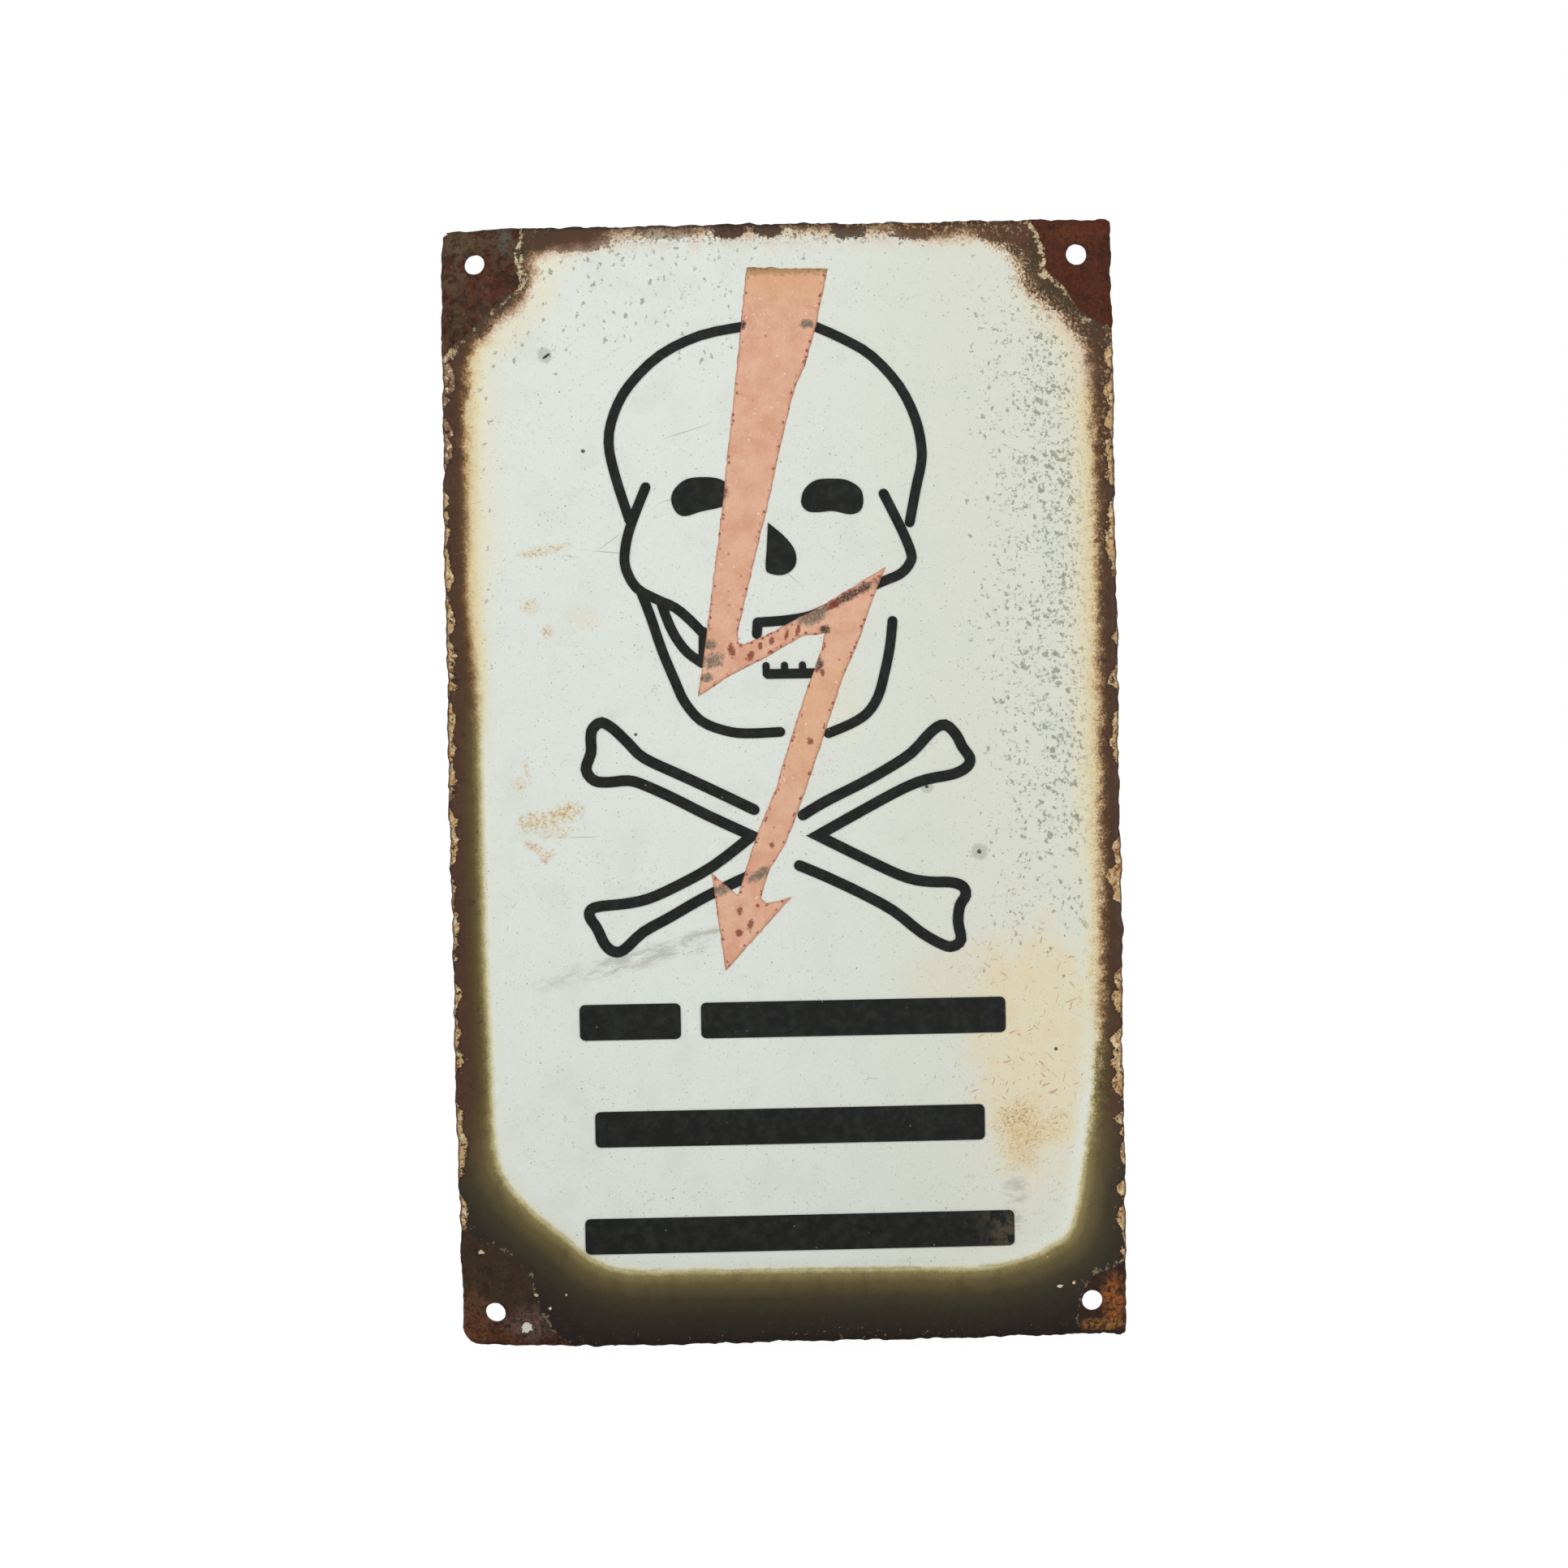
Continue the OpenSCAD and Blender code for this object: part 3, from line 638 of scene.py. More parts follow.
def field_colour(s, fade):
    """The white field: broad tones, yellowing, flecks, dabs, strokes and dots."""
    colour = s.mix(s.step(s.x, -20, 50), FIELD_LEFT, FIELD_RIGHT)

    def tint(mask, tone, strength):
        nonlocal colour
        colour = s.over(colour, mask, strength, tone)

    cloud = s.noise(11, 5, 0.6, (31, 4, 7))
    tint(s.step(cloud, 0.46, 0.70), srgb(212, 216, 206), 0.5)
    # Yellowing near the sprayed edge, at the left, the right and the lower right
    grain = s.swing(1.1, 0.8, 4, 0.65)
    near = s.add(fade, s.mul(grain, 4))
    left = s.mul(s.step(s.x, -40, -50), s.step(s.z, 20, 60))
    tint(s.mul(left, s.step(near, 10, 3)), srgb(230, 220, 184), 0.5)
    side = s.mul(s.step(s.x, 50, 62), s.step(s.z, -40, 0))
    tint(s.mul(side, s.step(near, 9.5, 3)), srgb(224, 212, 176), 0.6)
    tint(s.mul(side, s.step(s.add(near, s.mul(cloud, 8)), 8.0, 5)), srgb(212, 186, 160), 0.45)
    warm_base = s.blob(55, -60, 15, 30, 1.2, ragged=1.0, size=7)
    warm = s.mul(s.add(warm_base, s.mul(grain, 0.5)), s.step(warm_base, 0.0, 0.12))
    tint(s.step(warm, 0.25, 0.95), srgb(226, 212, 176), 0.7)
    hot = s.mul(s.step(warm, 0.3, 0.8), s.patches(4.5, 6, 0.65, 0.48, 0.62, (2, 9, 5)))
    tint(hot, srgb(225, 202, 160), 0.4)
    uneven = s.step(grain, -0.3, 0.15)
    for x, z, rx, rz, tone, strength in (
            (40, -44, 12, 8, srgb(222, 208, 174), 0.5), (14, 17, 3, 8, srgb(224, 218, 186), 0.45),
            (-43.5, 37.5, 3.4, 2.2, srgb(226, 214, 178), 0.4), (52, -79, 4, 6, srgb(214, 186, 132), 0.6)):
        tint(s.mul(s.blob(x, z, rx, rz, 1.2, ragged=1.0, size=4), uneven), tone, strength)
    # Brown dabs
    broken = s.patches(0.45, 4, 0.7, 0.47, 0.58, s.shift((17, 3, 1), (0.6, 1, 1), 0.25))
    for x, z, rx, rz, turn, tone, strength in (
            (-56.9, -7.2, 1.7, 0.9, 0.2, OCHRE, 0.9), (-53.8, -6.6, 2.2, 0.8, 0.1, OCHRE, 0.9),
            (-50.5, -5.6, 1.5, 0.7, 0.3, OCHRE, 0.8), (-48.0, -4.9, 1.7, 0.9, 0.3, OCHRE, 0.9),
            (-50.9, -9.5, 2.2, 0.6, 0.1, OCHRE, 0.7), (-56.8, -12.3, 1.1, 0.4, -0.5, PINKISH, 0.8),
            (-54.7, -13.7, 1.1, 0.4, -0.9, PINKISH, 0.9), (-53.1, -15.0, 1.1, 0.4, 0.7, PINKISH, 0.8),
            (-59.1, 1.4, 0.9, 0.6, 0.5, PINKISH, 0.6), (-57.2, 4.2, 0.4, 1.4, 0.2, PINKISH, 0.5),
            (-53.4, 52.9, 2.6, 0.5, 0.12, OCHRE, 0.8), (-49.0, 54.0, 1.2, 0.35, 0.2, OCHRE, 0.6),
            (-56.0, 40.8, 1.1, 0.8, 0.3, OCHRE, 0.7), (-52.2, 35.2, 0.8, 0.6, 0.6, PINKISH, 0.8),
            (50.0, -75.0, 3.0, 1.4, 0.5, srgb(170, 122, 66), 0.9), (54, -80, 3.6, 0.8, 0.2, OCHRE, 0.7),
            (58, -77, 2.6, 0.8, 0.6, OCHRE, 0.6), (52, -84, 2.4, 0.7, -0.4, PINKISH, 0.6)):
        mark = s.mul(s.blob(x, z, 1.5 * rx, 2.0 * rz, 1.4, turn, 2.6, 0.9), uneven)
        tint(mark, srgb(224, 206, 162), 0.6 * strength)
        tint(s.mul(mark, broken), tone, strength)
    for x, z, rx, rz, turn, strength in ((-34, -38, 20, 2.2, 0.26, 0.40), (-18, -33, 5, 1.3, 0.2, 0.45),
                                         (50, -94, 2.4, 7, 0.0, 0.35), (47, -108, 4, 2, 0.0, 0.3)):
        smear = s.patches(2.2, 5, 0.65, 0.42, 0.62, s.shift((x, 1, z), (0.4, 1, 1.4), turn))
        tint(s.mul(s.blob(x, z, rx, rz, 1.2, turn, 1.0, 2.4), smear), DIRT, strength)
    # Fine grey specks
    tint(s.patches(0.42, 3, 0.6, 0.56, 0.68), srgb(202, 206, 197), 0.5)
    tint(s.patches(0.7, 3, 0.6, 0.70, 0.73, (3, 3, 13)), srgb(176, 180, 170), 0.5)
    # Grey-green flecks where the glaze has crazed
    zone = s.mul(s.step(s.x, 38, 64), s.step(s.z, -50, 12), s.step(s.z, 119, 104))
    zone = s.mul(zone, s.patches(9, 3, 0.5, 0.26, 0.52, (3, 1, 9)))
    outer = s.mul(zone, s.step(s.x, 51, 60))
    rim = s.mul(s.step(fade, 8, 3), s.step(s.z, -50, 10))
    corner = s.mul(s.step(s.z, 84, 112), s.step(s.x, 12, -20), s.step(s.z, 124, 118))
    for size, radius, place, mask, share, tone in (
            (1.05, 0.27, 3, zone, 0.85, FLECK), (1.4, 0.38, 13, zone, 0.8, srgb(140, 144, 122)),
            (1.8, 0.50, 23, outer, 0.8, srgb(136, 138, 114)),
            (0.9, 0.22, 33, zone, 0.9, srgb(160, 164, 150)),
            (2.7, 0.70, 73, outer, 0.36, srgb(146, 146, 120)), (1.6, 0.34, 43, rim, 0.42, FLECK),
            (2.4, 0.46, 53, corner, 0.50, srgb(138, 144, 132)),
            (1.4, 0.26, 63, corner, 0.50, srgb(150, 154, 142))):
        where = s.shift((place, 2 * place, 5), (1, 1, 0.64), place)
        tint(s.spots(size, radius, s.mul(mask, share), where, 1.9), tone, 0.75)
    # Curved hair lines and short strokes
    for turn, place in ((0.35, 5), (1.25, 17), (2.4, 29)):
        line = s.noise(3.4, 1.5, 0.4, s.shift((place, 2, place), (0.30, 1, 1), turn), 0.6)
        thin = s.step(s.math("ABSOLUTE", s.sub(line, 0.5)), 0.006, 0.001)
        some = s.patches(8, 2, 0.5, 0.62, 0.70, (place, 8, 8))
        tint(s.mul(thin, some), srgb(160, 158, 146), 0.4)
        stroke = s.patches(0.8, 1.5, 0.5, 0.69, 0.72, s.shift((8, place, 3), (0.22, 1, 1.3), turn))
        tint(s.mul(stroke, s.step(warm, 0.1, 0.6)), srgb(176, 122, 92), 0.6)
    for x, z, length, turn in ((-38.2, 54.7, 3.2, 0.62), (-37.0, 52.4, 4.6, -0.1), (-20.5, 79, 5, 0.3),
                               (1.5, 47, 3.6, -0.7), (-45, -10.6, 3.4, 0.02)):
        tint(s.blob(x, z, length, 0.09, 0.8, turn, 0.5, 3.0), srgb(120, 112, 98), 0.55)
    for x, z, r, ring in ((31.5, -0.8, 0.4, 1.3), (43, -15.5, 0.5, 1.8), (-43.5, 75, 0.45, 0),
                          (-51.5, 96.4, 0, 1.7), (59.5, -60, 0.4, 0), (-33, 12, 0.35, 0),
                          (45.6, -97.0, 0.5, 0), (40.5, -109.5, 0.3, 0)):
        if ring:
            tint(s.blob(x, z, ring, ring, 0.5, 0, 1.1, 1.6), srgb(176, 178, 166), 0.7)
        if r:
            tint(s.blob(x, z, r, r, 0.4, 0, 0.8, 0.7), srgb(44, 42, 38), 0.9)
    tint(s.blob(-51.2, 96.2, 1.0, 0.3, 0.4, 0.6, 0.5, 0.6), srgb(36, 34, 30), 0.95)
    return colour


def border_detail(s, colour, d, low):
    """Mottling, pale grains and burnt patches of the brown border."""
    outside = s.step(d, 0.4, -1.0)
    mottle = s.noise(1.7, 6, 0.7)
    calm = s.sub(1.0, s.mul(low, 0.75))
    colour = s.mix(s.mul(outside, calm, s.step(mottle, 0.52, 0.76)), colour, srgb(90, 64, 46))
    colour = s.mix(s.mul(outside, calm, s.step(mottle, 0.44, 0.26)), colour, srgb(52, 38, 31))
    streak = s.patches(5, 5, 0.6, 0.5, 0.75, s.shift((6, 2, 3), (1, 1, 0.35)))
    colour = s.over(colour, s.mul(outside, streak), 0.35, srgb(52, 40, 34))
    # Pale grains, dense in the band between the white and the rust at the upper corners
    upper = s.mul(s.step(s.z, 94, 104), s.step(s.math("ABSOLUTE", s.x), 46, 52))
    pale = s.noise(0.62, 5, 0.75, (4, 4, 4))
    dense = s.sub(0.69, s.mul(upper, 0.115))
    colour = s.over(colour, s.mul(outside, s.step(s.sub(pale, dense), 0, 0.03)), 0.55, srgb(164, 142, 106))
    olive = s.mul(upper, s.patches(2.2, 5, 0.7, 0.44, 0.58, (14, 2, 4)))
    colour = s.over(colour, s.mul(outside, olive), 0.7, srgb(56, 53, 36))
    # The top edge: brown patches, speckles and a dark line over a pinkish haze
    haze = s.mul(s.step(s.z, 116.5, 122), s.patches(3.2, 4, 0.6, 0.34, 0.62, (8, 1, 2)))
    haze = s.mul(haze, s.step(d, 0.2, 2.2))
    colour = s.over(colour, haze, 0.5, srgb(218, 194, 166))
    fine = s.swing(2.4, 0.5, 4, 0.7, (1, 1, 1))
    for x, z, rx, rz, tone, strength in (
            (-10.4, 123.6, 3.8, 2.2, srgb(60, 38, 30), 0.95),
            (-1.6, 123.7, 3.3, 2.0, srgb(62, 40, 31), 0.95),
            (16.2, 123.4, 4.3, 2.2, srgb(60, 38, 30), 0.92), (31, 122.9, 5.2, 2.2, srgb(82, 52, 38), 0.85),
            (52, 122.4, 8, 2.6, srgb(84, 56, 42), 0.8), (-46, 121.4, 10, 2.2, srgb(80, 54, 42), 0.7),
            (-24, 123.2, 7, 1.5, srgb(92, 72, 54), 0.55), (6, 124.4, 4, 0.9, srgb(84, 62, 46), 0.6)):
        patch = s.step(s.add(s.blob(x, z, rx, rz, 0.8, 0, 1.2, 1.8), fine), 0.35, 0.6)
        colour = s.over(colour, patch, strength, tone)
    crest = s.mul(s.step(s.z, 119.6, 122.2), s.step(s.x, -38, -32))
    speck = s.patches(0.7, 4, 0.65, 0.53, 0.57, (31, 2, 8))
    colour = s.over(colour, s.mul(crest, speck), 0.75, srgb(86, 70, 54))
    colour = s.over(colour, s.step(s.add(s.z, fine), 123.9, 124.4), 0.85, srgb(50, 38, 30))
    return colour, outside


def chipped(s, colour, chip, edge, outside):
    """Chips along the sides: cream and tan enamel left round darker pits."""
    jag = s.swing(2.6, 0.9, 5, 0.7)
    c = s.add(chip, jag)
    colour = s.over(colour, s.step(c, -0.55, -0.1), 0.8, srgb(46, 33, 26))
    right = s.step(s.x, -1, 1)
    high = s.step(s.z, 66, 72)
    reddish = s.mul(s.sub(1.0, right), high)
    tone = s.mix(reddish, srgb(142, 92, 54), srgb(104, 70, 50))
    tone = s.mix(s.patches(1.3, 5, 0.68, 0.40, 0.50, (1, 7, 2)), tone,
                 s.mix(reddish, srgb(190, 160, 114), srgb(148, 120, 92)))
    tone = s.mix(s.patches(1.1, 4, 0.65, 0.54, 0.60, (9, 2, 2)), tone, CREAM)
    tone = s.mix(s.patches(1.4, 5, 0.7, 0.55, 0.61, (5, 5, 8)), tone, srgb(60, 40, 29))
    tone = s.over(tone, s.step(s.add(edge, s.mul(jag, 0.4)), 0.6, 0.15), 0.8, srgb(62, 42, 31))
    mask = s.step(c, 0.0, 0.15)
    colour = s.over(colour, mask, 0.95, tone)
    bits = s.noise(0.85, 5, 0.7, (14, 2, 8))
    scatter = s.sub(0.655, s.mul(right, high, 0.095))
    loose = s.mul(s.step(edge, 4.6, 0.8), s.step(s.sub(bits, scatter), 0, 0.02))
    colour = s.over(colour, s.mul(loose, outside), 0.85, s.mix(right, srgb(160, 128, 106), TAN_CHIP))
    return colour, mask


def rusted(s, colour, rust):
    """Granular rust at the corners, with cracked cream enamel along its edge."""
    r = s.add(rust, s.swing(2.6, 1.6, 6, 0.7))
    grain = s.noise(0.75, 8, 0.75)
    blot = s.noise(2.4, 6, 0.68, (6, 6, 1))
    right, upper = s.step(s.x, 0, 20), s.step(s.z, 0, 20)
    upper_right = s.mul(right, upper)
    lower_left = s.mul(s.sub(1.0, right), s.sub(1.0, upper))
    lower_right = s.mul(right, s.sub(1.0, upper))
    tone = s.mix(s.step(grain, 0.36, 0.64), RUST_DARK, RUST_RED)
    grey = s.mul(s.step(blot, 0.50, 0.62), s.sub(1.0, s.mul(upper_right, 0.75)))
    tone = s.over(tone, s.mul(grey, s.step(grain, 0.35, 0.6)), 0.75, RUST_GREY)
    tone = s.over(tone, upper_right, 0.5, srgb(86, 44, 30))
    ashen = s.patches(1.9, 6, 0.7, 0.42, 0.58, (3, 9, 4))
    ashen = s.mul(s.sub(1.0, right), upper, ashen)
    tone = s.over(tone, ashen, 0.7, srgb(84, 68, 50))
    tone = s.over(tone, lower_right, 0.8, srgb(50, 38, 32))
    above = s.mul(lower_left, s.step(s.z, -120, -114))
    tone = s.over(tone, above, 0.78, srgb(56, 48, 36))
    for x, z, rx, rz, colour_here, strength in (
            (71.6, -116.6, 2.6, 5.4, RUST_ORANGE, 0.7), (69.5, -122.4, 4.6, 1.3, srgb(170, 118, 62), 0.75),
            (-72.0, -118, 4.0, 6, srgb(112, 70, 44), 0.7), (-64, -122.5, 6, 2.4, srgb(104, 66, 46), 0.6),
            (-58.5, -119.5, 5.5, 3.4, srgb(104, 90, 88), 0.7),
            (-59.9, 121.4, 2.0, 3.0, srgb(92, 96, 84), 0.7),
            (-70.5, 121.5, 4.5, 3.2, srgb(98, 84, 64), 0.6), (-63.5, 112.5, 4, 3, srgb(92, 44, 34), 0.6),
            (67, 121.5, 6, 2.5, srgb(108, 60, 34), 0.5)):
        ember = s.mul(s.blob(x, z, rx, rz, 0.9, 0, 1.5, 2.2), s.patches(0.9, 6, 0.72, 0.40, 0.56))
        tone = s.over(tone, ember, strength, colour_here)
    dark = s.patches(2.8, 6, 0.7, 0.50, 0.60, (22, 5, 9))
    tone = s.over(tone, dark, 0.6, srgb(44, 32, 26))
    pits = s.patches(0.6, 5, 0.7, 0.58, 0.66, (2, 5, 5))
    tone = s.over(tone, pits, 0.75, PIT)
    light = s.patches(0.5, 5, 0.75, 0.66, 0.72, (12, 5, 15))
    tone = s.mix(s.mul(light, s.sub(0.55, s.mul(upper_right, 0.3))), tone, srgb(158, 136, 112))
    mask = s.step(r, -0.15, 0.2)
    colour = s.mix(mask, colour, tone)
    # The cracked rim is wide in places and missing in others
    wide = s.mul(s.sub(s.noise(2.6, 4, 0.65, (12, 1, 6)), 0.47), 11)
    strong = s.most(s.blob(-57.4, 118, 4, 7, 0.8), s.blob(60, 116, 6, 9, 0.8))
    wide = s.least(s.add(wide, s.sub(s.mul(strong, 1.3), 0.25)), 2.0)
    crack = s.mul(s.step(s.add(r, wide), 0.0, 0.2), s.step(r, 0.15, -0.1))
    crack = s.mul(crack, s.patches(0.9, 5, 0.7, 0.42, 0.50, (4, 8, 2)))
    crack = s.mul(crack, s.add(0.26, s.mul(upper, s.add(0.4, s.mul(strong, 0.3)))))
    shell = s.mix(s.step(grain, 0.42, 0.6), CREAM, srgb(160, 132, 92))
    return s.mix(crack, colour, shell), mask, grain, crack


def enamel_colour(s):
    """Colour of the sheet's front below the black and red, with the masks that go with it."""
    fade, edge = s.attribute("fade"), s.attribute("edge")
    low = s.step(s.z, -66, -92)
    # The white was sprayed on, so its edge is grainy, less so at the bottom and the left
    smooth_left = s.mul(s.step(s.z, 92, 60, 0, 0.7), s.step(s.x, 0, -20))
    smooth_left = s.most(smooth_left, s.mul(s.step(s.z, 40, 0), s.step(s.x, 0, -20)))
    calm = s.sub(1.0, s.mul(s.most(low, smooth_left), 0.72))
    fine = s.mul(s.sub(s.noise(0.5, 3, 0.6), 0.5), calm, 3.6)
    coarse = s.mul(s.sub(s.noise(2.6, 4, 0.6), 0.5), calm, 4.2)
    upper_right = s.mul(s.step(s.x, 40, 48), s.step(s.z, 92, 100))
    fine = s.mul(fine, s.add(1.0, s.mul(upper_right, 1.8)))
    # The border reaches further in at the middle of the left side
    inward = s.mul(s.step(s.z, 46, 20), s.step(s.z, -82, -50))
    inward = s.mul(inward, s.step(s.x, 0, -20, 0.0, 1.5))
    d = s.add(s.sub(fade, inward), s.add(fine, coarse))
    olive = s.mul(s.step(s.z, 36, 0), s.step(s.x, 0, -20))
    olive = s.most(olive, s.mul(s.step(s.z, -40, -75), s.step(s.x, 0, 20)))
    yellow = s.most(s.mul(s.step(s.z, 104, 96), s.step(s.x, -20, -40)),
                    s.mul(s.step(s.z, 92, 84), s.step(s.x, 20, 40)))
    colour = s.mix(yellow, s.ramp(d, FADE_BROWN), s.ramp(d, FADE_YELLOW))
    sprayed = s.mul(s.step(d, -1.8, -0.3), s.step(d, 3.6, 1.0), calm, yellow)
    sprayed = s.mul(sprayed, s.step(s.x, -10, 10, 0.35, 0.9))
    dust = s.noise(0.42, 4, 0.7, (21, 2, 2))
    colour = s.mix(s.mul(sprayed, s.step(dust, 0.52, 0.6, 0, 0.5)), colour, srgb(126, 100, 76))
    colour = s.mix(s.mul(sprayed, s.step(dust, 0.46, 0.4, 0, 0.5)), colour, srgb(220, 198, 178))
    colour = s.mix(olive, colour, s.ramp(d, FADE_OLIVE))
    colour = s.mix(low, colour, s.ramp(d, FADE_BOTTOM))
    inside_white = s.step(d, s.sub(0.9, s.mul(low, 0.4)), s.sub(3.0, s.mul(low, 1.3)))
    inside_white = s.most(s.mul(inside_white, s.sub(1.0, yellow)), s.step(d, 1.6, 5.0))
    colour = s.mix(inside_white, colour, field_colour(s, fade))
    colour, outside = border_detail(s, colour, d, low)
    colour, chip_mask = chipped(s, colour, s.attribute("chip"), edge, outside)
    colour, rust_mask, grain, crack = rusted(s, colour, s.attribute("rust"))
    return colour, rust_mask, chip_mask, grain, crack


def front_material(name):
    """Worn enamel over the dark ground coat, which is bare on the rear."""
    s = Shade(name)
    colour, rust_mask, chip_mask, grain, crack = enamel_colour(s)
    rough = s.step(s.noise(5, 4, 0.6), 0.3, 0.7, 0.30, 0.42)
    rough = s.mix(chip_mask, rough, (0.75, 0.75, 0.75))
    rough = s.mix(rust_mask, rough, (0.88, 0.88, 0.88))
    peel = s.noise(1.6, 3, 0.5)
    height = s.add(s.mul(peel, 0.12), s.mul(rust_mask, grain))
    height = s.sub(height, s.mul(chip_mask, 0.35))
    height = s.add(height, s.mul(crack, 0.3))
    normal = s.bump(height, 0.22, 0.7)
    side = s.step(s.attribute("front"), 0.4, 0.6)
    edge = s.attribute("edge")
    coat = s.mix(s.patches(9, 5, 0.6, 0.35, 0.65), srgb(40, 42, 44), srgb(56, 55, 52))
    worn = s.add(edge, s.swing(9, 3.4, 5, 0.65))
    rusty = s.add(s.attribute("rust"), s.swing(8, 3, 5, 0.65))
    spread = s.most(s.step(worn, 3.0, 0.8), s.step(rusty, -1.5, 0.8))
    dull = s.mix(s.step(grain, 0.35, 0.65), RUST_DARK, RUST_RED)
    dull = s.over(dull, s.patches(1.8, 5, 0.7, 0.55, 0.68), 0.6, srgb(128, 78, 46))
    bloom = s.patches(7, 7, 0.72, 0.585, 0.65, (41, 3, 6))
    coat = s.over(coat, bloom, 0.8, dull)
    specks = s.spots(2.6, 0.42, 0.12)
    coat = s.over(coat, specks, 0.8, srgb(120, 76, 48))
    rear = s.mix(spread, coat, dull)
    colour = s.mix(side, rear, colour)
    rear_rough = s.mix(spread, (0.38, 0.38, 0.38), (0.85, 0.85, 0.85))
    rough = s.mix(side, rear_rough, rough)
    return s.finish(colour, rough, normal, 0.12)


def black_material(name):
    """Black enamel with a slightly worn surface and a few pale specks."""
    s = Shade(name)
    tone = s.mix(s.patches(2.2, 6, 0.65, 0.4, 0.7), BLACK, srgb(36, 38, 36))
    scuff = s.patches(2.2, 5, 0.7, 0.62, 0.74, (4, 2, 9))
    tone = s.over(tone, scuff, 0.35, BLACK_WORN)
    dots = s.spots(2.4, 0.2, 0.16)
    tone = s.over(tone, dots, 0.5, srgb(150, 152, 144))
    worn = s.blob(-39, -1.5, 2.4, 1.0, 0.8, 0.2, 1.2, 1.4)
    tone = s.over(tone, worn, 0.5, srgb(128, 128, 116))
    thin = s.mul(s.step(s.x, 38, 49), s.step(s.z, -92, -98))
    patch = s.mul(thin, s.patches(1.8, 5, 0.7, 0.42, 0.6))
    tone = s.over(tone, patch, 0.55, srgb(96, 84, 64))
    rough = s.step(s.noise(2.0, 4, 0.6), 0.3, 0.7, 0.36, 0.52)
    normal = s.bump(s.noise(0.9, 4, 0.6), 0.06, 0.6)
    return s.finish(tone, rough, normal, 0.14)


def red_material(name):
    """Red enamel faded to salmon, with burst red spots and the black that lies under it."""
    s = Shade(name)
    tone = s.mix(s.patches(5, 4, 0.6, 0.35, 0.7), SALMON, SALMON_DEEP)
    tone = s.over(tone, s.step(s.z, 104, 114), 0.7, srgb(212, 164, 122))
    tone = s.over(tone, s.blob(8, 15, 7, 16, 1.2, -0.3, 0.6, 5), 0.3, srgb(214, 170, 124))
    pale = s.patches(0.8, 4, 0.65, 0.60, 0.68, (3, 7, 7))
    tone = s.over(tone, pale, 0.5, SALMON_PALE)
    tone = s.over(tone, s.spots(1.7, 0.3, 0.35, (2, 2, 2)), 0.6, srgb(236, 216, 194))
    # Black left under the red
    dark, grey = srgb(50, 44, 40), srgb(112, 106, 90)
    for x, z, rx, rz, turn, ink in (
            (-12.6, 65.6, 1.0, 1.8, 0, grey), (-15.5, 28, 2.2, 1.6, 0.3, grey),
            (-16.2, 31.6, 1.4, 1.1, 0, grey), (-17, 24.2, 1.5, 0.9, 0.2, grey),
            (14.6, 41.8, 7.6, 1.0, 0.47, dark), (6.8, 37.4, 3.4, 1.5, 0.4, grey),
            (9.4, 34.6, 1.2, 0.9, 0, dark), (7.9, 27, 1.0, 1.6, 0, dark), (-6, -19.6, 2.5, 1.1, 0.4, grey),
            (-14.5, -23, 1.5, 1.2, 0.3, grey), (-7.5, 102.4, 0.7, 0.9, 0, dark),
            (6.7, 102.4, 1.4, 0.9, 0, grey)):
        left = s.blob(x, z, rx, rz, 0.8, turn, 2.0, 0.9)
        speck = s.step(s.noise(0.5, 4, 0.7), 0.36, 0.5, 0.5, 0.95)
        tone = s.mix(s.mul(left, speck), tone, ink)
    # Burst spots
    for x, z, rx, rz, turn in (
            (-11.4, 30.2, 0.8, 1.5, 0.2), (-7.2, 29.0, 0.7, 1.2, -0.5), (-8.3, 26.1, 1.3, 0.5, 0.5),
            (-5.0, 31.2, 0.5, 0.7, 0.0), (-2.5, 32.3, 0.6, 0.9, -0.4), (0.9, 33.6, 0.4, 1.2, -0.3),
            (11.4, 39.9, 1.5, 0.6, 0.6), (3.4, 34.4, 0.5, 1.3, -0.2), (-2.6, 29.8, 0.5, 0.4, 0),
            (8.7, 25.0, 0.5, 0.7, 0), (-10.6, -27.6, 0.6, 0.9, 0.2), (-8.3, -30.7, 0.6, 1.2, -0.3),
            (-10.9, -32.5, 0.8, 0.8, 0), (-6.6, -26.6, 0.4, 0.4, 0), (-2.6, -29.4, 3.0, 0.5, 0.78),
            (5.7, 9.8, 0.7, 0.7, 0), (-3.2, -13.2, 0.5, 0.6, 0), (13.6, 44.0, 0.8, 0.6, 0.5)):
        burst = s.blob(x, z, rx, rz, 0.7, turn, 2.4, 0.7)
        tone = s.over(tone, burst, 0.85, RED_SPOT)
    # Dots along the edges, a darker line at them and a browned top
    edge = s.attribute("edge")
    near = s.step(edge, 1.0, 0.6)
    few = s.mul(s.spots(1.1, 0.42, 0.7, (5, 1, 5), 1.0), near, 0.85)
    tone = s.mix(few, tone, srgb(134, 62, 48))
    tone = s.over(tone, s.spots(3.0, 0.34, 0.40, (9, 3, 1), 0.9), 0.6, srgb(178, 96, 76))
    blush = s.patches(0.55, 4, 0.7, 0.54, 0.66, (6, 1, 9))
    tone = s.over(tone, blush, 0.35, srgb(200, 130, 108))
    tone = s.over(tone, s.step(edge, 0.5, 0.1), 0.35, srgb(176, 104, 80))
    crust = s.step(s.add(s.z, s.swing(3.4, 0.9, 4, 0.65)), 112.9, 114.2)
    tone = s.over(tone, crust, 0.7, srgb(146, 124, 82))
    rough = s.step(s.noise(2.0, 4, 0.6), 0.3, 0.7, 0.36, 0.55)
    height = s.add(s.noise(0.8, 4, 0.6), s.mul(few, 0.8))
    return s.finish(tone, rough, s.bump(height, 0.08, 0.6), 0.14)


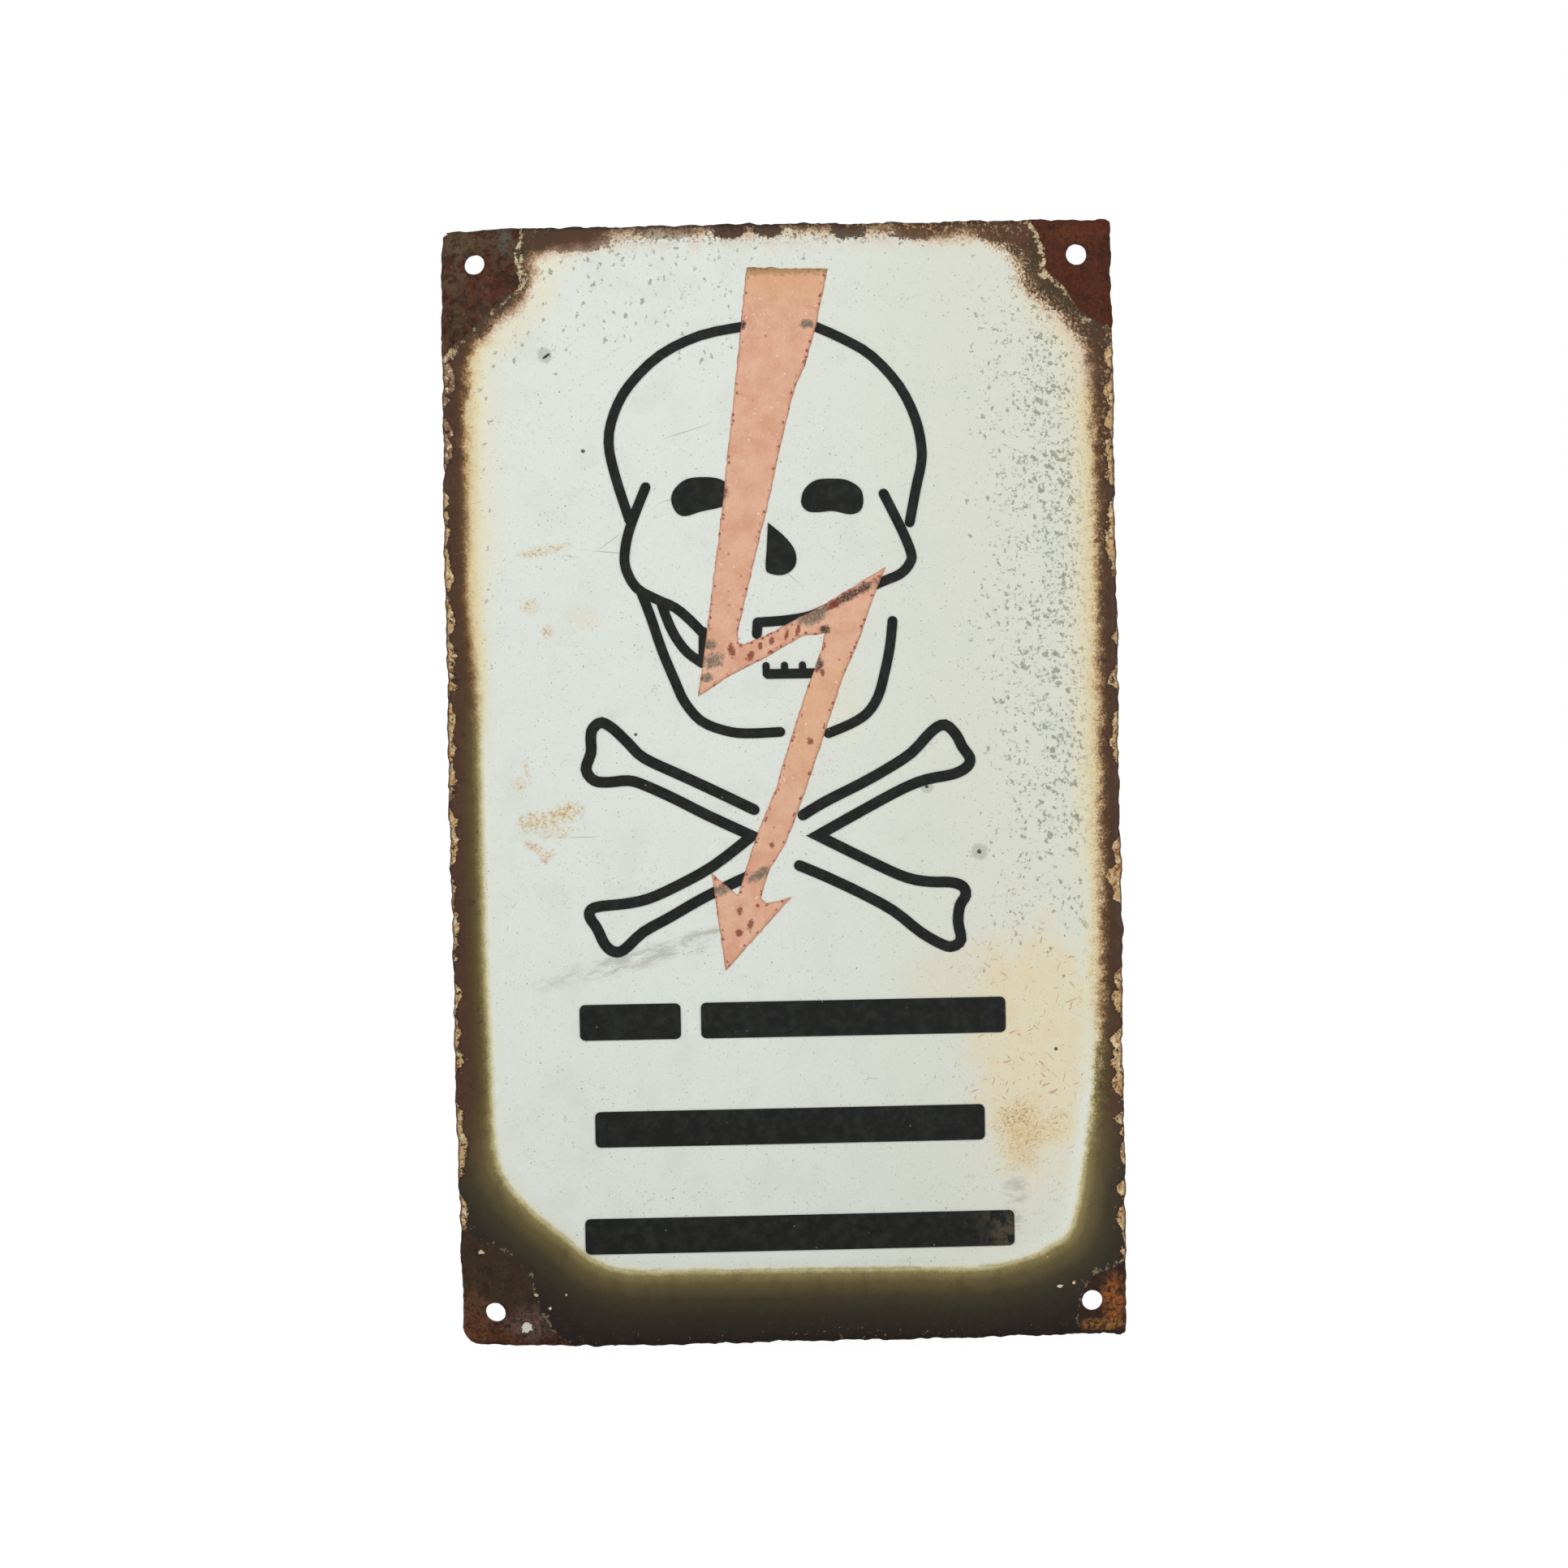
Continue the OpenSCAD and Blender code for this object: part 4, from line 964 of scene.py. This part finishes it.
def build_flakes():
    """Flakes of enamel that still hold on the rust."""
    rng = np.random.default_rng(11)
    for k, (x, z, w, h, tone) in enumerate((
            (-60.0, -120.4, 2.7, 3.3, "white"), (-54.6, -116.0, 0.9, 1.0, "white"),
            (-57.6, -112.9, 1.3, 0.8, "cream"), (-69.8, -103.0, 1.6, 1.2, "cream"),
            (59.8, -113.6, 1.8, 0.9, "white"), (62.9, -112.8, 0.9, 1.0, "cream"),
            (57.0, -106.9, 0.5, 0.5, "cream"), (-50.9, -113.0, 0.6, 0.6, "cream"))):
        count = 17
        angles = np.sort(rng.uniform(0, 2 * math.pi, count))
        radii = rng.uniform(0.28, 0.6, count)
        ring = np.stack([x + w * radii * np.cos(angles), z + h * radii * np.sin(angles)], 1)
        bm = bmesh.new()
        low = crown_y(ring, SHEET_T - 0.12)
        high = crown_y(ring, SHEET_T + 0.12)
        lower = [bm.verts.new((p[0] * MM, y * MM, p[1] * MM)) for p, y in zip(ring, low)]
        shrunk = (ring - (x, z)) * 0.86 + (x, z)
        upper = [bm.verts.new((p[0] * MM, y * MM, p[1] * MM)) for p, y in zip(shrunk, high)]
        bm.faces.new(lower[::-1])
        bm.faces.new(upper)
        for a in range(count):
            b = (a + 1) % count
            bm.faces.new((lower[a], lower[b], upper[b], upper[a]))
        bmesh.ops.recalc_face_normals(bm, faces=bm.faces)
        mesh = bpy.data.meshes.new(f"enamel_flake_{k}")
        bm.to_mesh(mesh)
        bm.free()
        co = np.array([v.co[:] for v in mesh.vertices]) / MM
        placed = bent(co) * MM
        mesh.vertices.foreach_set("co", placed.ravel())
        mesh.update()
        obj = add_object(f"enamel_flake_{k}", mesh)
        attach(obj, "root")
        obj.data.materials.append(flake_material(tone))


def flake_material(tone):
    name = f"{tone}_flake"
    if name in bpy.data.materials:
        return bpy.data.materials[name]
    s = Shade(name)
    base = srgb(222, 222, 212) if tone == "white" else srgb(206, 186, 148)
    colour = s.mix(s.patches(0.6, 4, 0.65, 0.45, 0.7), base, srgb(176, 152, 118))
    return s.finish(colour, s.step(s.noise(1, 3), 0.3, 0.7, 0.4, 0.6), s.bump(s.noise(0.4), 0.05), 0.35)


def set_material(obj, material):
    obj.data.materials.clear()
    obj.data.materials.append(material)


sheet = build_sheet()
white = build_white()
ground_coat = front_material("worn_ground_coat")
white_coat = ground_coat.copy()
white_coat.name = "worn_white_enamel"
set_material(sheet, ground_coat)
set_material(white, white_coat)
build_flakes()
black = black_material("worn_black_enamel")
for name in ("black_figure", "black_bars"):
    set_material(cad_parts[name], black)
set_material(build_arrow(), red_material("faded_red_enamel"))

# The floor shows white to the camera and keeps the shadow, which fades out away from the sign
FLOOR_REACH, FLOOR_GAP = 2.0, 0.0002
FLOOR_GREY, FLOOR_GLOW = 0.86, 1.05
SHADOW_NEAR, SHADOW_FAR, SHADOW_LEFT = 200, 500, 0.9
WORLD_LIGHT, WORLD_SEEN = 0.30, 1.0

floor_mesh = bpy.data.meshes.new("floor")
level = cad_box[0][2] - FLOOR_GAP
floor_mesh.from_pydata([(x * FLOOR_REACH, y * FLOOR_REACH, level)
                        for x, y in ((-1, -1), (1, -1), (1, 1), (-1, 1))], [], [(0, 1, 2, 3)])
floor = add_object("floor", floor_mesh)
s = Shade("pale_floor")
s.put(s.bsdf.inputs["Base Color"], (FLOOR_GREY, FLOOR_GREY, FLOOR_GREY))
s.put(s.bsdf.inputs["Roughness"], 0.9)
glow, away, blend = s.node("Emission"), s.node("VectorMath", operation="LENGTH"), s.node("MixShader")
s.put(glow.inputs["Color"], (1, 1, 1))
s.put(glow.inputs["Strength"], FLOOR_GLOW)
s.put(away.inputs[0], s.at)
spread = s.step(away.outputs["Value"], SHADOW_NEAR, SHADOW_FAR, SHADOW_LEFT, kind="LINEAR")
seen = s.mul(s.node("LightPath").outputs["Is Camera Ray"], spread)
for socket, value in zip(blend.inputs, (seen, s.bsdf.outputs[0], glow.outputs[0])):
    s.put(socket, value)
s.put(s.nodes["Material Output"].inputs["Surface"], blend.outputs[0])
set_material(floor, s.mat)

world = bpy.data.worlds.new("studio")
bpy.context.scene.world = world
world.use_nodes = True
w = Wires(world.node_tree)
path = w.node("LightPath").outputs
seen = w.most(w.most(path["Is Camera Ray"], path["Is Transmission Ray"]), path["Is Glossy Ray"])
ground = w.nodes["Background"].inputs
w.put(ground["Color"], (1, 1, 1))
w.put(ground["Strength"], w.step(seen, 0, 1, WORLD_LIGHT, WORLD_SEEN, "LINEAR"))


def lamp(name, where, size, watts):
    """A square lamp that faces the sign."""
    data = bpy.data.lights.new(name, "AREA")
    data.size = size
    data.energy = watts
    obj = add_object(name, data)
    obj.location = where
    obj.rotation_euler = (-Vector(where)).to_track_quat("-Z", "Y").to_euler()


lamp("key_lamp", (-0.75, -0.95, 0.75), 0.7, 8.6)
lamp("fill_lamp", (0.85, -0.95, 0.35), 0.8, 5.4)
lamp("rear_lamp", (0.5, 0.9, 0.7), 0.8, 11)

# The camera stands as the photo's did: its place in metres, and its turns in degrees
CAMERA_AT = (-0.0268, -0.8990, 0.0301)
CAMERA_PAN, CAMERA_DIP, CAMERA_ROLL = -1.6818, 1.9004, -1.0278
camera_data = bpy.data.cameras.new("camera")
camera_data.sensor_width = 36
camera_data.lens = 92.5
camera_data.shift_x = 0.0007
camera = add_object("camera", camera_data)
camera.matrix_world = (Matrix.Translation(CAMERA_AT)
                       @ Matrix.Rotation(math.radians(CAMERA_PAN), 4, "Z")
                       @ Matrix.Rotation(math.radians(90 - CAMERA_DIP), 4, "X")
                       @ Matrix.Rotation(math.radians(CAMERA_ROLL), 4, "Z"))
bpy.context.scene.camera = camera
bpy.context.scene.view_settings.view_transform = "Standard"
